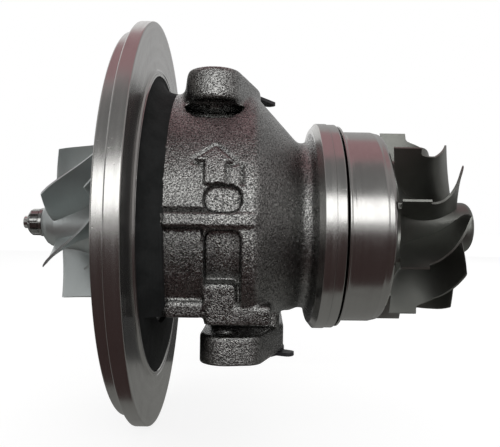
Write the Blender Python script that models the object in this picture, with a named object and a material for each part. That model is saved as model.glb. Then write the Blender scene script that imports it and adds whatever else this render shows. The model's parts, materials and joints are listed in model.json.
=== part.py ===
"""Turbocharger cartridge: bearing housing, backplate, heat shield and the rotor that turns in them.

Metres, +Z up. The rotor axis is X, with the compressor at -X and the turbine at +X.
The origin is on that axis, in the face of the flange that meets the turbine housing.
The oil inlet faces up and the oil drain faces down.
"""

from math import atan2, cos, pi, radians, sin, tan, tau

import bmesh
import bpy
from mathutils import Matrix, Vector
from mathutils.geometry import convex_hull_2d

# Clearances
GAP = 0.0003                    # between two pieces that touch or run on each other
AXIAL_PLAY = 0.0015             # between the turbine wheel and the wall behind it

# Cuts, joins and edges
CUT_PAST = 0.0100               # how far a cutter runs past what it cuts
JOIN_DEPTH = 0.0010             # how far shapes that are joined run into each other
EDGE = 0.0006                   # chamfers on machined edges
BEND = 0.0015                   # small fillets in machined corners
MERGE = 1e-6                    # points closer than this are one

# Facets of a full turn
LARGE_TURN = 32
MEDIUM_TURN = 20
SMALL_TURN = 16
TINY_TURN = 10
HOLE_TURN = 8

# Bearing housing, lengths along the axis from the turbine flange's face towards -X
FLANGE_WIDTH = 0.0085
FLANGE_STEP = 0.0039            # where the rim of the flange changes diameter
FLANK_WIDTH = 0.0042
NECK_LENGTH = 0.0070
CONE_LENGTH = 0.0178
DRUM_LENGTH = 0.0325
SPIGOT_LENGTH = 0.0150
NOSE_LENGTH = 0.0160            # the boss inside the heat shield, towards +X

# Bearing housing, radii
FLANGE_RADIUS = 0.0466
FLANGE_STEP_HEIGHT = 0.0003
FLANK_DROP = 0.0026             # from the flange's rim down to the middle of its flank
CLAMP_DEPTH = 0.0089            # from the flange's rim down to the neck
DRUM_RADIUS = 0.0585
SPIGOT_RADIUS = 0.0380
NOSE_RADIUS = 0.0235
NOSE_ROOT_CLEARANCE = 0.0059    # inside the heat shield
CAST_FILLET = 0.0030
BELLY_DEPTH = 0.0365            # from the axis down to the flat underside

# Recesses in the near side of the drum, as lengths from the drum's face and angles above level
PANEL_LENGTH = 0.0145
PANEL_DEPTH = 0.0025
RIB_LOW_ANGLE = radians(-0.5)
PANEL_LOW_ANGLE = radians(-29.5)
CHANNEL_START = 0.0157
CHANNEL_LENGTH = 0.0136
CHANNEL_DEPTH = 0.0080
CHANNEL_LOW_ANGLE = radians(-26.5)
RIB_HEIGHT = 0.0009
RIB_HIGH_ANGLE = radians(3.4)
RIB_LENGTH = 0.0290
POCKET_CENTRE = 0.0224
POCKET_LENGTH = 0.0142
POCKET_WIDTH = 0.0108
POCKET_DEPTH = 0.0040
POCKET_HEIGHT_ABOVE_AXIS = 0.0088
POCKET_ROUNDING = 0.9           # its corners' radius as a share of half its width

# Oil inlet pad, on top
INLET_RISE = 0.0035             # of the pad's face above the drum
INLET_THICKNESS = 0.0128
INLET_FROM_FACE = 0.0185        # from the drum's face to the port
INLET_PORT_RADIUS = 0.0065
INLET_BULGE_RADIUS = 0.0165
INLET_LOBE_RADIUS = 0.0110
INLET_BOLT_SPREAD = 0.0296      # from the port to each bolt hole, across the axis
INLET_BOLT_SKEW = 0.0008        # from the port to each bolt hole, along the axis
BOLT_HOLE_RADIUS = 0.00425
INLET_HOLE_PAST = 0.0040        # how far the bolt holes run below the pad

# Oil drain flange, below
DRAIN_BOTTOM = 0.0550
DRAIN_THICKNESS = 0.0115
DRAIN_FROM_FACE = 0.0315
DRAIN_PORT_RADIUS = 0.0125
DRAIN_LOBE_RADIUS = 0.0105
DRAIN_CORNER_RADIUS = 0.0060
DRAIN_BOLT_SPREAD = 0.0315
DRAIN_BOLT_SKEW = 0.0080
DRAIN_CORNER_SPREAD = 0.0080
DRAIN_CORNER_REACH = 0.0110
DRAIN_NECK_HALF_WIDTH = 0.0370
DRAIN_NECK_LENGTH = 0.0295
DRAIN_NECK_SINK = 0.0060        # how far the neck runs up into the drum
DRAIN_COLUMN_LENGTH = 0.0109
DRAIN_COLUMN_FRONT = 0.0470
DRAIN_COLUMN_TOP = 0.0226       # from the axis down to the column's top

# Oil ways inside the housing
BORE_RADIUS = 0.0110
SEAL_BORE_RADIUS = 0.0115
SEAL_BORE_LENGTH = 0.0110
SCAVENGE_RADIUS = 0.0180
SCAVENGE_LENGTH = 0.0110
SUMP_HALF_WIDTH = 0.0100
SUMP_TOP = 0.0150
SUMP_BOTTOM = 0.0260
GALLERY_INSET = 0.0030          # from the thrust bearing's rim in to the gallery's axis
GALLERY_RADIUS = 0.0025
FEED_RADIUS = 0.0015

# Floating journal bearings and their circlips
BEARING_LENGTH = 0.0120
BEARING_WALL = 0.0034
BEARING_HOLE_RADIUS = 0.0013
BEARING_HOLES = 4
CIRCLIP_THICKNESS = 0.0012
CIRCLIP_DEPTH = 0.0012          # how deep it sits in the bore's wall
CIRCLIP_REACH = 0.0018          # how far it stands into the bore
CIRCLIP_LAND = 0.0016           # bore left outside the outer circlips
CIRCLIP_GAP = radians(46)

# Thrust bearing, baffle and oil seal plate, in the housing's compressor end
THRUST_SEAT_DEPTH = 0.0110      # from the drum's face in to the thrust bearing's shoulder
THRUST_THICKNESS = 0.0048
THRUST_SHARE = 0.71             # its radius as a share of the spigot's
THRUST_PADS = 6
THRUST_GROOVE_WIDTH = 0.0022
THRUST_GROOVE_DEPTH = 0.0008
THRUST_CAVITY_LENGTH = 0.0060
THRUST_CAVITY_MARGIN = 0.0040   # round the collar
BAFFLE_THICKNESS = 0.0010
BAFFLE_DISH = 0.0043
BAFFLE_CLEARANCE = 0.0017       # between its dish and the seal plate's rim
BAFFLE_HOLE_RADIUS = 0.0138
SPIGOT_WALL = 0.0053            # round the seal plate
SEAL_PLATE_RIM_LENGTH = 0.0050
SEAL_PLATE_RIM_WIDTH = 0.0048
SEAL_PLATE_RECESS = 0.0030      # from the spigot's end in to the plate's face
SEAL_PLATE_BORE = 0.0123
SEAL_PLATE_STEP_BACK = 0.0012   # from the plate's shoulder to the web inside it
SNAP_RING_THICKNESS = 0.0014
SNAP_RING_DEPTH = 0.0013
SNAP_RING_WIDTH = 0.0046
SNAP_RING_GAP = radians(34)
SEAL_RING_SECTION = 0.0011      # half the thickness of both rubber rings
SEAL_RING_SQUASH = 0.90

# Compressor backplate
PLATE_DEPTH = 0.0177            # from the housing's face to the plate's front
PLATE_RIM_RADIUS = 0.0881
PLATE_RIM_HEIGHT = 0.0042       # of the rim over the register in front of it
PLATE_STEP = 0.0050             # from the front to the shoulder that the cover seats on
PLATE_RIM_WIDTH = 0.0105
PLATE_BEAD_SLOPE = 0.0025       # from the dish out to the bead's rim
PLATE_BEAD_WIDTH = 0.0022
PLATE_BEAD_HEIGHT = 0.0022      # how far the bead stands behind the rim
PLATE_DISH_WIDTH = 0.0074
PLATE_DISH_DEPTH = 0.0008
PLATE_BOSS_STEP = 0.0001        # from the drum down to the boss that meets it
PLATE_BOSS_FILLET = 0.0044
PLATE_RECESS_DEPTH = 0.0015
PLATE_RECESS_MARGIN = 0.0012    # beyond the wheel's rim
PLATE_CHAMFER = 0.0006

# Backplate screws
SCREW_COUNT = 4
SCREW_WALL = 0.0065             # from the spigot out to the screws' axes
SCREW_RADIUS = 0.0028
SCREW_HEAD_RADIUS = 0.0048
SCREW_HEAD_LENGTH = 0.0045
SCREW_HEAD_SINK = 0.0065
SCREW_SOCKET_RADIUS = 0.0025
SCREW_SOCKET_DEPTH = 0.0024
SCREW_ENGAGEMENT = 0.0110       # into the housing
SCREW_END_ROOM = 0.0010         # left in the tapped hole past the screw
SCREW_HEAD_CLEARANCE = 0.0005

# Rotor
JOURNAL_RADIUS = 0.0070
SHAFT_HUB_RADIUS = 0.0112
SHAFT_SLINGER_RADIUS = 0.0095
SHAFT_SLINGER_LENGTH = 0.0030
SHAFT_STEP_RADIUS = 0.0055
SHAFT_STEP_REACH = 0.0010       # how far the slinger covers the shaft's thinner end
SHAFT_RELIEF = 0.0008           # how far the shaft's waist lies below the journals
SHAFT_WHEEL_RADIUS = 0.0040
THREAD_RADIUS = 0.0036
THREAD_END_RADIUS = 0.0029
THREAD_END_LENGTH = 0.0027
PISTON_RING_WIDTH = 0.0018
PISTON_RING_THICKNESS = 0.0016
PISTON_RING_GAP = radians(4)
PISTON_RING_FROM_END = 0.0045
COLLAR_CLEARANCE = 0.0030       # between the slinger's disc and the baffle's dish
COLLAR_THICKNESS = 0.0030
COLLAR_SLEEVE_RADIUS = 0.0090
SLINGER_DISC_THICKNESS = 0.0028
SLINGER_SLEEVE_RADIUS = 0.0115
NUT_LENGTH = 0.0053
NUT_RADIUS = 0.0062
NUT_POINTS = 12
NUT_POINT_DEPTH = 0.0009
NUT_FLANGE_RADIUS = 0.0071
NUT_FLANGE_THICKNESS = 0.0011
NUT_CHAMFER = 0.0016

# Compressor wheel
COMPRESSOR_RADIUS = 0.0495
COMPRESSOR_INLET_RADIUS = 0.0343
COMPRESSOR_INLET_HUB_RADIUS = 0.0118
COMPRESSOR_BLADE_LENGTH = 0.0335  # along the axis, from the tips' front to the rim
COMPRESSOR_HUB_LEAD = 0.0020      # how far a blade's front edge leans forward at the hub
COMPRESSOR_EXIT_WIDTH = 0.0059
COMPRESSOR_RIM_THICKNESS = 0.0013
COMPRESSOR_NOSE_LENGTH = 0.0085
COMPRESSOR_NOSE_RADIUS = 0.0072
COMPRESSOR_NOSE_SWELL = 0.8       # how far the nose has grown to the hub's radius halfway along
COMPRESSOR_BOSS_RADIUS = 0.0140
COMPRESSOR_BOSS_LENGTH = 0.0026
COMPRESSOR_BLADES = 7
COMPRESSOR_WRAP = radians(52)
COMPRESSOR_ROOT_LAG = radians(15)
COMPRESSOR_TIP_ANGLE = radians(18.8)
COMPRESSOR_SPLITTER_START = 0.45
COMPRESSOR_TIP_THICKNESS = 0.0008
COMPRESSOR_ROOT_THICKNESS = 0.0017

# Turbine wheel
TURBINE_RADIUS = 0.0430
TURBINE_TIP_WIDTH = 0.0115
TURBINE_LENGTH = 0.0288           # along the axis, from the tips' back to the exit's tips
TURBINE_NOTCH = 0.0035
TURBINE_NOTCH_SHARE = 0.8         # of its depth, that its steep side takes
TURBINE_NOTCH_RUN = 0.0006        # its steep side's length along the axis
TURBINE_NOTCH_END = 0.0028        # from the tips to where the free edge eases into the throat
TURBINE_THROAT_SHARE = 0.45       # of the way from the tips to the exit
TURBINE_THROAT_RADIUS = 0.0372
TURBINE_EXIT_RADIUS = 0.0380
TURBINE_EXIT_LEAN = 0.0055        # how far the exit edge runs on at the hub
TURBINE_BACK_RADIUS = 0.0355
TURBINE_BACK_THICKNESS = 0.0016
TURBINE_BOSS_RADIUS = 0.0117
TURBINE_BOSS_STEP = 0.0003        # from the hub line's end out to the boss
TURBINE_BOSS_LENGTH = 0.0415      # along the axis, from the tips' back to the boss's end
TURBINE_BOSS_FILLET = 0.0028
TURBINE_STUB_RADIUS = 0.0112
TURBINE_BLADES = 10
TURBINE_WRAP = radians(29)
TURBINE_TIP_ANGLE = radians(14)
TURBINE_TIP_THICKNESS = 0.0011
TURBINE_ROOT_THICKNESS = 0.0024
TURBINE_SCALLOP_RADIUS = 0.0078
TURBINE_SCALLOP_CIRCLE = 0.0385
TURBINE_SCALLOP_LENGTH = 0.0060   # from the wheel's back into the flare
BLADE_SINK = 0.0010               # how far a blade's root runs into the hub
BLADE_END_SINK = 0.45             # the share of that sink that is left at the blade's end
BLADE_EDGE_SHARE = 0.55           # of its thickness, that a blade keeps at its front and back edges
HUB_STEPS = 5                     # stretches of a wheel's hub line
SPAN_STEPS = 2                    # stretches of a blade from root to tip

# Heat shield, a pressed can
SHIELD_THICKNESS = 0.0012
SHIELD_LIP_WIDTH = 0.0014
SHIELD_LIP_INSET = 0.0010         # from the flange's rim in to the lip's
SHIELD_LIP_HEIGHT = 0.0025        # of the lip over the can
SHIELD_DEPTH = 0.0205
SHIELD_CORNER = 0.0032
SHIELD_HOLE_RADIUS = 0.0160

# Plugs that close the oil ports in transport
PLUG_CAP_OVERLAP = 0.0055
PLUG_CAP_THICKNESS = 0.0026
PLUG_STEM_LENGTH = 0.0070
PLUG_WALL = 0.0016
TAB_THICKNESS = 0.0016
TAB_BELOW_CAP = 0.0002
TAB_WIDTH = 0.0085
INLET_TAB_LENGTH = 0.0390
INLET_TAB_ANGLE = radians(49)
DRAIN_TAB_LENGTH = 0.0240
DRAIN_TAB_ANGLE = radians(-28)

# Stations along the axis
FLANGE_BACK = -FLANGE_WIDTH
NECK_RIGHT = FLANGE_BACK - FLANK_WIDTH
NECK_LEFT = NECK_RIGHT - NECK_LENGTH
CONE_LEFT = NECK_LEFT - CONE_LENGTH
DRUM_FACE = CONE_LEFT - DRUM_LENGTH
SPIGOT_END = DRUM_FACE - SPIGOT_LENGTH
INLET_X = DRUM_FACE + INLET_FROM_FACE
DRAIN_X = DRUM_FACE + DRAIN_FROM_FACE
SCAVENGE_RIGHT = NOSE_LENGTH - SEAL_BORE_LENGTH
BORE_RIGHT = SCAVENGE_RIGHT - SCAVENGE_LENGTH
THRUST_SEAT = DRUM_FACE + THRUST_SEAT_DEPTH
BORE_LEFT = THRUST_SEAT + THRUST_CAVITY_LENGTH
THRUST_RIGHT = THRUST_SEAT - GAP
THRUST_LEFT = THRUST_RIGHT - THRUST_THICKNESS
BAFFLE_RIGHT = THRUST_LEFT - GAP
BAFFLE_LEFT = BAFFLE_RIGHT - BAFFLE_THICKNESS
SEAL_PLATE_RIGHT = BAFFLE_LEFT - GAP
SEAL_PLATE_STEP = SEAL_PLATE_RIGHT - SEAL_PLATE_RIM_LENGTH
SEAL_PLATE_LEFT = SPIGOT_END + SEAL_PLATE_RECESS
PLATE_SEAT = DRUM_FACE - GAP
PLATE_FRONT = PLATE_SEAT - PLATE_DEPTH
PLATE_RECESS = PLATE_FRONT + PLATE_RECESS_DEPTH
COMPRESSOR_BACK = PLATE_RECESS - GAP - GAP
COMPRESSOR_RIM = COMPRESSOR_BACK - COMPRESSOR_RIM_THICKNESS
COMPRESSOR_INLET = COMPRESSOR_RIM - COMPRESSOR_BLADE_LENGTH
COMPRESSOR_NOSE = COMPRESSOR_INLET - COMPRESSOR_HUB_LEAD - COMPRESSOR_NOSE_LENGTH
COMPRESSOR_BOSS = COMPRESSOR_BACK + COMPRESSOR_BOSS_LENGTH
NUT_RIGHT = COMPRESSOR_NOSE - GAP
NUT_LEFT = NUT_RIGHT - NUT_LENGTH
SHAFT_LEFT = NUT_LEFT - THREAD_END_LENGTH
COLLAR_LEFT = THRUST_RIGHT + GAP
COLLAR_RIGHT = COLLAR_LEFT + COLLAR_THICKNESS
COLLAR_SLEEVE_END = THRUST_LEFT
SLINGER_RIGHT = COLLAR_SLEEVE_END - GAP
SLINGER_DISC_LEFT = SLINGER_RIGHT - SLINGER_DISC_THICKNESS
SLINGER_LEFT = COMPRESSOR_BOSS + GAP
SHAFT_SHOULDER = COLLAR_RIGHT + GAP
SHIELD_FRONT = SHIELD_DEPTH
TURBINE_BACK = SHIELD_FRONT + AXIAL_PLAY
WELD_X = NOSE_LENGTH + 0.5 * AXIAL_PLAY

# Radii and heights that follow from others
INLET_TOP = DRUM_RADIUS + INLET_RISE
SEAL_PLATE_RADIUS = SPIGOT_RADIUS - SPIGOT_WALL
THRUST_RADIUS = THRUST_SHARE * SPIGOT_RADIUS
SEAL_PLATE_RIM_INSIDE = THRUST_RADIUS - SEAL_PLATE_RIM_WIDTH
BAFFLE_DISH_RADIUS = SEAL_PLATE_RIM_INSIDE - BAFFLE_CLEARANCE
COLLAR_RADIUS = BAFFLE_DISH_RADIUS - BAFFLE_THICKNESS - COLLAR_CLEARANCE
GALLERY_HEIGHT = THRUST_RADIUS - GALLERY_INSET
SCREW_CIRCLE = SPIGOT_RADIUS + SCREW_WALL
PLATE_BORE = SPIGOT_RADIUS + GAP
PLATE_BOSS_RADIUS = DRUM_RADIUS - PLATE_BOSS_STEP
PLATE_DISH_RADIUS = PLATE_BOSS_RADIUS + PLATE_DISH_WIDTH
PLATE_BEAD_RADIUS = PLATE_DISH_RADIUS + PLATE_BEAD_SLOPE
PLATE_FRONT_RADIUS = PLATE_RIM_RADIUS - PLATE_RIM_HEIGHT
SHIELD_LIP_RADIUS = FLANGE_RADIUS - SHIELD_LIP_INSET
SHIELD_RADIUS = SHIELD_LIP_RADIUS - SHIELD_LIP_HEIGHT
NOSE_ROOT_RADIUS = SHIELD_RADIUS - SHIELD_THICKNESS - NOSE_ROOT_CLEARANCE
FLANK_RADIUS = FLANGE_RADIUS - FLANK_DROP
NECK_RADIUS = FLANGE_RADIUS - CLAMP_DEPTH
BEARING_OUTER = BORE_RADIUS - GAP
BEARING_INNER = JOURNAL_RADIUS + GAP


# Materials

def material(name, colour, roughness, metallic):
    """A Principled material in one colour."""
    made = bpy.data.materials.new(name)
    made.use_nodes = True
    shader = made.node_tree.nodes["Principled BSDF"]
    shader.inputs["Base Color"].default_value = (*colour, 1.0)
    shader.inputs["Roughness"].default_value = roughness
    shader.inputs["Metallic"].default_value = metallic
    made.diffuse_color = (*colour, 1.0)
    return made


def make_materials():
    """The materials by name, with the colours that the pieces show."""
    return {
        "cast_iron": material("cast_iron", (0.19, 0.19, 0.19), 0.55, 0.8),
        "machined_iron": material("machined_iron", (0.50, 0.49, 0.48), 0.30, 1.0),
        "cast_aluminium": material("cast_aluminium", (0.55, 0.57, 0.57), 0.38, 1.0),
        "nickel_alloy": material("nickel_alloy", (0.28, 0.29, 0.28), 0.42, 1.0),
        "pressed_steel": material("pressed_steel", (0.56, 0.54, 0.52), 0.28, 1.0),
        "shaft_steel": material("shaft_steel", (0.60, 0.60, 0.60), 0.22, 1.0),
        "bronze": material("bronze", (0.62, 0.44, 0.20), 0.35, 1.0),
        "rubber": material("rubber", (0.03, 0.03, 0.03), 0.75, 0.0),
        "plug_plastic": material("plug_plastic", (0.03, 0.03, 0.035), 0.50, 0.0),
    }


# Outlines

def rounded(corners, arc_steps=2):
    """The closed outline through (a, b) or (a, b, fillet) corners, with arcs for the fillets.

    A fillet no larger than an edge's chamfer is drawn as a chamfer.
    """
    points = []
    for index, corner in enumerate(corners):
        here = Vector(corner[:2])
        fillet = corner[2] if len(corner) > 2 else 0.0
        if fillet <= 0.0:
            points.append(tuple(here))
            continue
        before = Vector(corners[index - 1][:2]) - here
        after = Vector(corners[(index + 1) % len(corners)][:2]) - here
        half = before.angle(after) / 2
        reach = min(fillet / tan(half), 0.45 * before.length, 0.45 * after.length)
        centre = here + (before.normalized() + after.normalized()).normalized() * reach / cos(half)
        first = here + before.normalized() * reach - centre
        last = here + after.normalized() * reach - centre
        start = atan2(first.y, first.x)
        sweep = (atan2(last.y, last.x) - start + pi) % tau - pi
        steps = arc_steps if fillet > EDGE else 1
        for step in range(steps + 1):
            angle = start + sweep * step / steps
            points.append((centre.x + first.length * cos(angle), centre.y + first.length * sin(angle)))
    return points


def plate_outline(circles, steps=14):
    """The outline of a plate stretched round circles given as (x, y, radius)."""
    points = []
    for x, y, radius in circles:
        for step in range(steps):
            angle = tau * step / steps
            points.append((x + radius * cos(angle), y + radius * sin(angle)))
    return [points[index] for index in convex_hull_2d(points)]


def polygon(radius, sides, turn=0.0):
    """A regular polygon's corners, at this distance from its centre."""
    return [(radius * cos(turn + tau * k / sides), radius * sin(turn + tau * k / sides))
            for k in range(sides)]


# Solids

def add_object(name, bm, look):
    """An object from a bmesh, with its faces turned out and round stretches shaded smooth."""
    bmesh.ops.recalc_face_normals(bm, faces=bm.faces)
    mesh = bpy.data.meshes.new(name)
    bm.to_mesh(mesh)
    bm.free()
    made = bpy.data.objects.new(name, mesh)
    bpy.context.scene.collection.objects.link(made)
    if look is not None:
        mesh.materials.append(look)
    shade(mesh)
    return made


def shade(mesh):
    """Smooth shading, with edges above 32 degrees left sharp."""
    mesh.shade_smooth()
    mesh.set_sharp_from_angle(angle=radians(32))


def turned(name, corners, look=None, turn=LARGE_TURN, arc_steps=2):
    """A solid of revolution about X from an outline of (x, radius) or (x, radius, fillet) corners."""
    bm = bmesh.new()
    verts = [bm.verts.new((x, 0.0, radius)) for x, radius in rounded(corners, arc_steps)]
    for first, second in zip(verts, verts[1:] + verts[:1]):
        if max(first.co.z, second.co.z) > MERGE:
            bm.edges.new((first, second))
    bmesh.ops.spin(bm, geom=bm.verts[:] + bm.edges[:], cent=(0, 0, 0), axis=(1, 0, 0),
                   angle=tau, steps=turn, use_merge=True)
    bmesh.ops.remove_doubles(bm, verts=bm.verts, dist=MERGE)
    return add_object(name, bm, look)


def split_ring(name, corners, opening, look, turn=MEDIUM_TURN, middle=pi / 2):
    """A ring about X with a gap in it; the gap's middle lies at this angle from -Y towards +Z."""
    bm = bmesh.new()
    verts = [bm.verts.new((x, -radius, 0.0)) for x, radius in corners]
    face = bm.faces.new(verts)
    bmesh.ops.rotate(bm, verts=verts, cent=(0, 0, 0),
                     matrix=Matrix.Rotation(-(middle + opening / 2), 3, "X"))
    bmesh.ops.spin(bm, geom=[*verts, *face.edges, face], cent=(0, 0, 0), axis=(-1, 0, 0),
                   angle=tau - opening, steps=turn)
    return add_object(name, bm, look)


def prism(name, outline, start, end, look=None, frame=Matrix()):
    """An outline in the frame's XY plane, extruded from start to end along its Z."""
    bm = bmesh.new()
    face = bm.faces.new([bm.verts.new((x, y, start)) for x, y in outline])
    top = bmesh.ops.extrude_face_region(bm, geom=[face])["geom"]
    verts = [item for item in top if isinstance(item, bmesh.types.BMVert)]
    bmesh.ops.translate(bm, verts=verts, vec=(0, 0, end - start))
    bmesh.ops.transform(bm, matrix=frame, verts=bm.verts)
    return add_object(name, bm, look)


def block(name, low, high, fillet=0.0, look=None):
    """A box between two corners, with its upright edges rounded."""
    corners = [(low[0], low[1], fillet), (high[0], low[1], fillet),
               (high[0], high[1], fillet), (low[0], high[1], fillet)]
    return prism(name, rounded(corners), low[2], high[2], look)


def rod(name, start, end, radius, turn=HOLE_TURN):
    """A plain round rod between two points, for drilled holes and round stems."""
    start = Vector(start)
    along = Vector(end) - start
    frame = Matrix.Translation(start) @ along.to_track_quat("Z", "Y").to_matrix().to_4x4()
    return prism(name, polygon(radius, turn), 0.0, along.length, None, frame)


def sector(name, x_range, radius_range, angle_range, turn=12):
    """A piece of a thick tube about X, between two angles measured from -Y towards +Z."""
    bm = bmesh.new()
    verts = [bm.verts.new((x, -radius, 0.0)) for x, radius in (
        (x_range[0], radius_range[0]), (x_range[1], radius_range[0]),
        (x_range[1], radius_range[1]), (x_range[0], radius_range[1]))]
    face = bm.faces.new(verts)
    bmesh.ops.rotate(bm, verts=verts, cent=(0, 0, 0), matrix=Matrix.Rotation(-angle_range[0], 3, "X"))
    bmesh.ops.spin(bm, geom=[*verts, *face.edges, face], cent=(0, 0, 0), axis=(-1, 0, 0),
                   angle=angle_range[1] - angle_range[0], steps=turn)
    return add_object(name, bm, None)


def keep_modifiers(solid):
    """Replace a solid's mesh by the one its modifiers make."""
    bpy.context.view_layer.update()
    shown = solid.evaluated_get(bpy.context.evaluated_depsgraph_get())
    mesh = bpy.data.meshes.new_from_object(shown)
    solid.modifiers.clear()
    solid.data = mesh
    mesh.name = solid.name


def combine(solid, tools, operation):
    """Join tools to a solid (UNION) or take them out of it (DIFFERENCE); the tools are used up."""
    for tool in tools:
        boolean = solid.modifiers.new(operation, "BOOLEAN")
        boolean.operation = operation
        boolean.solver = "EXACT"
        boolean.object = tool
    keep_modifiers(solid)
    for tool in tools:
        bpy.data.objects.remove(tool)
    if solid.data.materials:
        look = solid.data.materials[0]
        solid.data.materials.clear()
        solid.data.materials.append(look)
    shade(solid.data)
    return solid


def around(angle, radius):
    """The (y, z) place at this radius, with the angle measured from -Y towards +Z."""
    return -radius * cos(angle), radius * sin(angle)


def screw_angles():
    """Angles of the backplate's screws, which avoid the oil ways at the top and bottom."""
    return [pi / 4 + tau * k / SCREW_COUNT for k in range(SCREW_COUNT)]


# Bearing housing

def housing_outside():
    """The turned outside: flange, neck, cone, drum, spigot and nose."""
    groove = SEAL_RING_SECTION + GAP
    ring_x = spigot_ring_x()
    return turned("bearing_housing", [
        (NOSE_LENGTH, 0.0),
        (NOSE_LENGTH, NOSE_RADIUS, BEND),
        (0.0, NOSE_ROOT_RADIUS),
        (0.0, FLANGE_RADIUS - FLANGE_STEP_HEIGHT, EDGE),
        (-FLANGE_STEP, FLANGE_RADIUS - FLANGE_STEP_HEIGHT),
        (-FLANGE_STEP - FLANGE_STEP_HEIGHT, FLANGE_RADIUS),
        (FLANGE_BACK, FLANGE_RADIUS, EDGE),
        (FLANGE_BACK - 0.5 * FLANK_WIDTH, FLANK_RADIUS),
        (NECK_RIGHT, NECK_RADIUS, CAST_FILLET),
        (NECK_LEFT, NECK_RADIUS, CAST_FILLET),
        (CONE_LEFT, DRUM_RADIUS, CAST_FILLET),
        (DRUM_FACE, DRUM_RADIUS, EDGE),
        (DRUM_FACE, SPIGOT_RADIUS),
        (ring_x + groove, SPIGOT_RADIUS),
        (ring_x + groove, SPIGOT_RADIUS - 2 * SEAL_RING_SECTION * SEAL_RING_SQUASH),
        (ring_x - groove, SPIGOT_RADIUS - 2 * SEAL_RING_SECTION * SEAL_RING_SQUASH),
        (ring_x - groove, SPIGOT_RADIUS),
        (SPIGOT_END, SPIGOT_RADIUS, EDGE),
        (SPIGOT_END, 0.0),
    ])


def spigot_ring_x():
    """Where the backplate's rubber ring lies on the spigot."""
    return DRUM_FACE - 0.5 * SPIGOT_LENGTH


def drum_recesses():
    """Cutters for the panel, the channel and the oval pocket in the near side of the drum."""
    outside = DRUM_RADIUS + CUT_PAST
    panel = sector("panel", (DRUM_FACE - CUT_PAST, DRUM_FACE + PANEL_LENGTH),
                   (DRUM_RADIUS - PANEL_DEPTH, outside), (PANEL_LOW_ANGLE, RIB_LOW_ANGLE))
    start = DRUM_FACE + CHANNEL_START
    channel = sector("channel", (start, start + CHANNEL_LENGTH),
                     (DRUM_RADIUS - CHANNEL_DEPTH, outside), (CHANNEL_LOW_ANGLE, RIB_LOW_ANGLE))
    middle = DRUM_FACE + POCKET_CENTRE
    across = 0.5 * POCKET_LENGTH
    up = 0.5 * POCKET_WIDTH
    rounding = POCKET_ROUNDING * up
    outline = rounded([(-across, -up, rounding), (across, -up, rounding),
                       (across, up, rounding), (-across, up, rounding)], 3)
    floor = (DRUM_RADIUS ** 2 - POCKET_HEIGHT_ABOVE_AXIS ** 2) ** 0.5 - POCKET_DEPTH
    place = Matrix.Translation((middle, -outside, POCKET_HEIGHT_ABOVE_AXIS))
    facing = place @ Matrix.Rotation(-pi / 2, 4, "X")
    pocket = prism("pocket", outline, 0.0, outside - floor, None, facing)
    return [panel, channel, pocket]


def side_rib():
    """The rib along the near side of the drum, level with the axis."""
    return sector("rib", (DRUM_FACE + GAP, DRUM_FACE + RIB_LENGTH),
                  (DRUM_RADIUS - PANEL_DEPTH - RIB_HEIGHT, DRUM_RADIUS + RIB_HEIGHT),
                  (RIB_LOW_ANGLE, RIB_HIGH_ANGLE), 3)


def belly_cut():
    """What the flat underside takes off, between the drum's face and the neck."""
    far = 2 * DRUM_RADIUS
    return block("belly", (SPIGOT_END - CUT_PAST, -far, -far), (NECK_RIGHT, far, -BELLY_DEPTH))


def inlet_pad():
    """The oil inlet's two-lobed pad."""
    outline = plate_outline([
        (INLET_X, 0.0, INLET_BULGE_RADIUS),
        (INLET_X - INLET_BOLT_SKEW, -INLET_BOLT_SPREAD, INLET_LOBE_RADIUS),
        (INLET_X + INLET_BOLT_SKEW, INLET_BOLT_SPREAD, INLET_LOBE_RADIUS)])
    return prism("inlet_pad", outline, INLET_TOP - INLET_THICKNESS, INLET_TOP)


def inlet_holes():
    """Holes down through the pad: the port and two bolt holes that open in its underside."""
    above = INLET_TOP + CUT_PAST
    below = INLET_TOP - INLET_THICKNESS - INLET_HOLE_PAST
    port = rod("port", (INLET_X, 0, above), (INLET_X, 0, GALLERY_HEIGHT), INLET_PORT_RADIUS, SMALL_TURN)
    holes = [rod("bolt", (INLET_X + side * INLET_BOLT_SKEW, side * INLET_BOLT_SPREAD, above),
                 (INLET_X + side * INLET_BOLT_SKEW, side * INLET_BOLT_SPREAD, below), BOLT_HOLE_RADIUS)
             for side in (-1, 1)]
    return [port, *holes]


def drain_flange():
    """The oil drain's flange, its neck and the column that the neck's front runs up into."""
    top = -DRAIN_BOTTOM + DRAIN_THICKNESS
    inside = -BELLY_DEPTH + DRAIN_NECK_SINK
    outline = plate_outline([
        (DRAIN_X - DRAIN_BOLT_SKEW, -DRAIN_BOLT_SPREAD, DRAIN_LOBE_RADIUS),
        (DRAIN_X + DRAIN_BOLT_SKEW, DRAIN_BOLT_SPREAD, DRAIN_LOBE_RADIUS),
        (DRAIN_X + DRAIN_CORNER_REACH, -DRAIN_CORNER_SPREAD, DRAIN_CORNER_RADIUS),
        (DRAIN_X - DRAIN_CORNER_REACH, DRAIN_CORNER_SPREAD, DRAIN_CORNER_RADIUS)])
    flange = prism("drain_flange", outline, -DRAIN_BOTTOM, top)
    left = DRAIN_X - 0.5 * DRAIN_NECK_LENGTH
    neck = block("drain_neck", (left, -DRAIN_NECK_HALF_WIDTH, top - JOIN_DEPTH),
                 (left + DRAIN_NECK_LENGTH, DRAIN_NECK_HALF_WIDTH, inside), CAST_FILLET)
    column = block("drain_column", (left, -DRAIN_COLUMN_FRONT, top - JOIN_DEPTH),
                   (left + DRAIN_COLUMN_LENGTH, 0.0, -DRAIN_COLUMN_TOP), CAST_FILLET)
    return [flange, neck, column]


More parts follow.
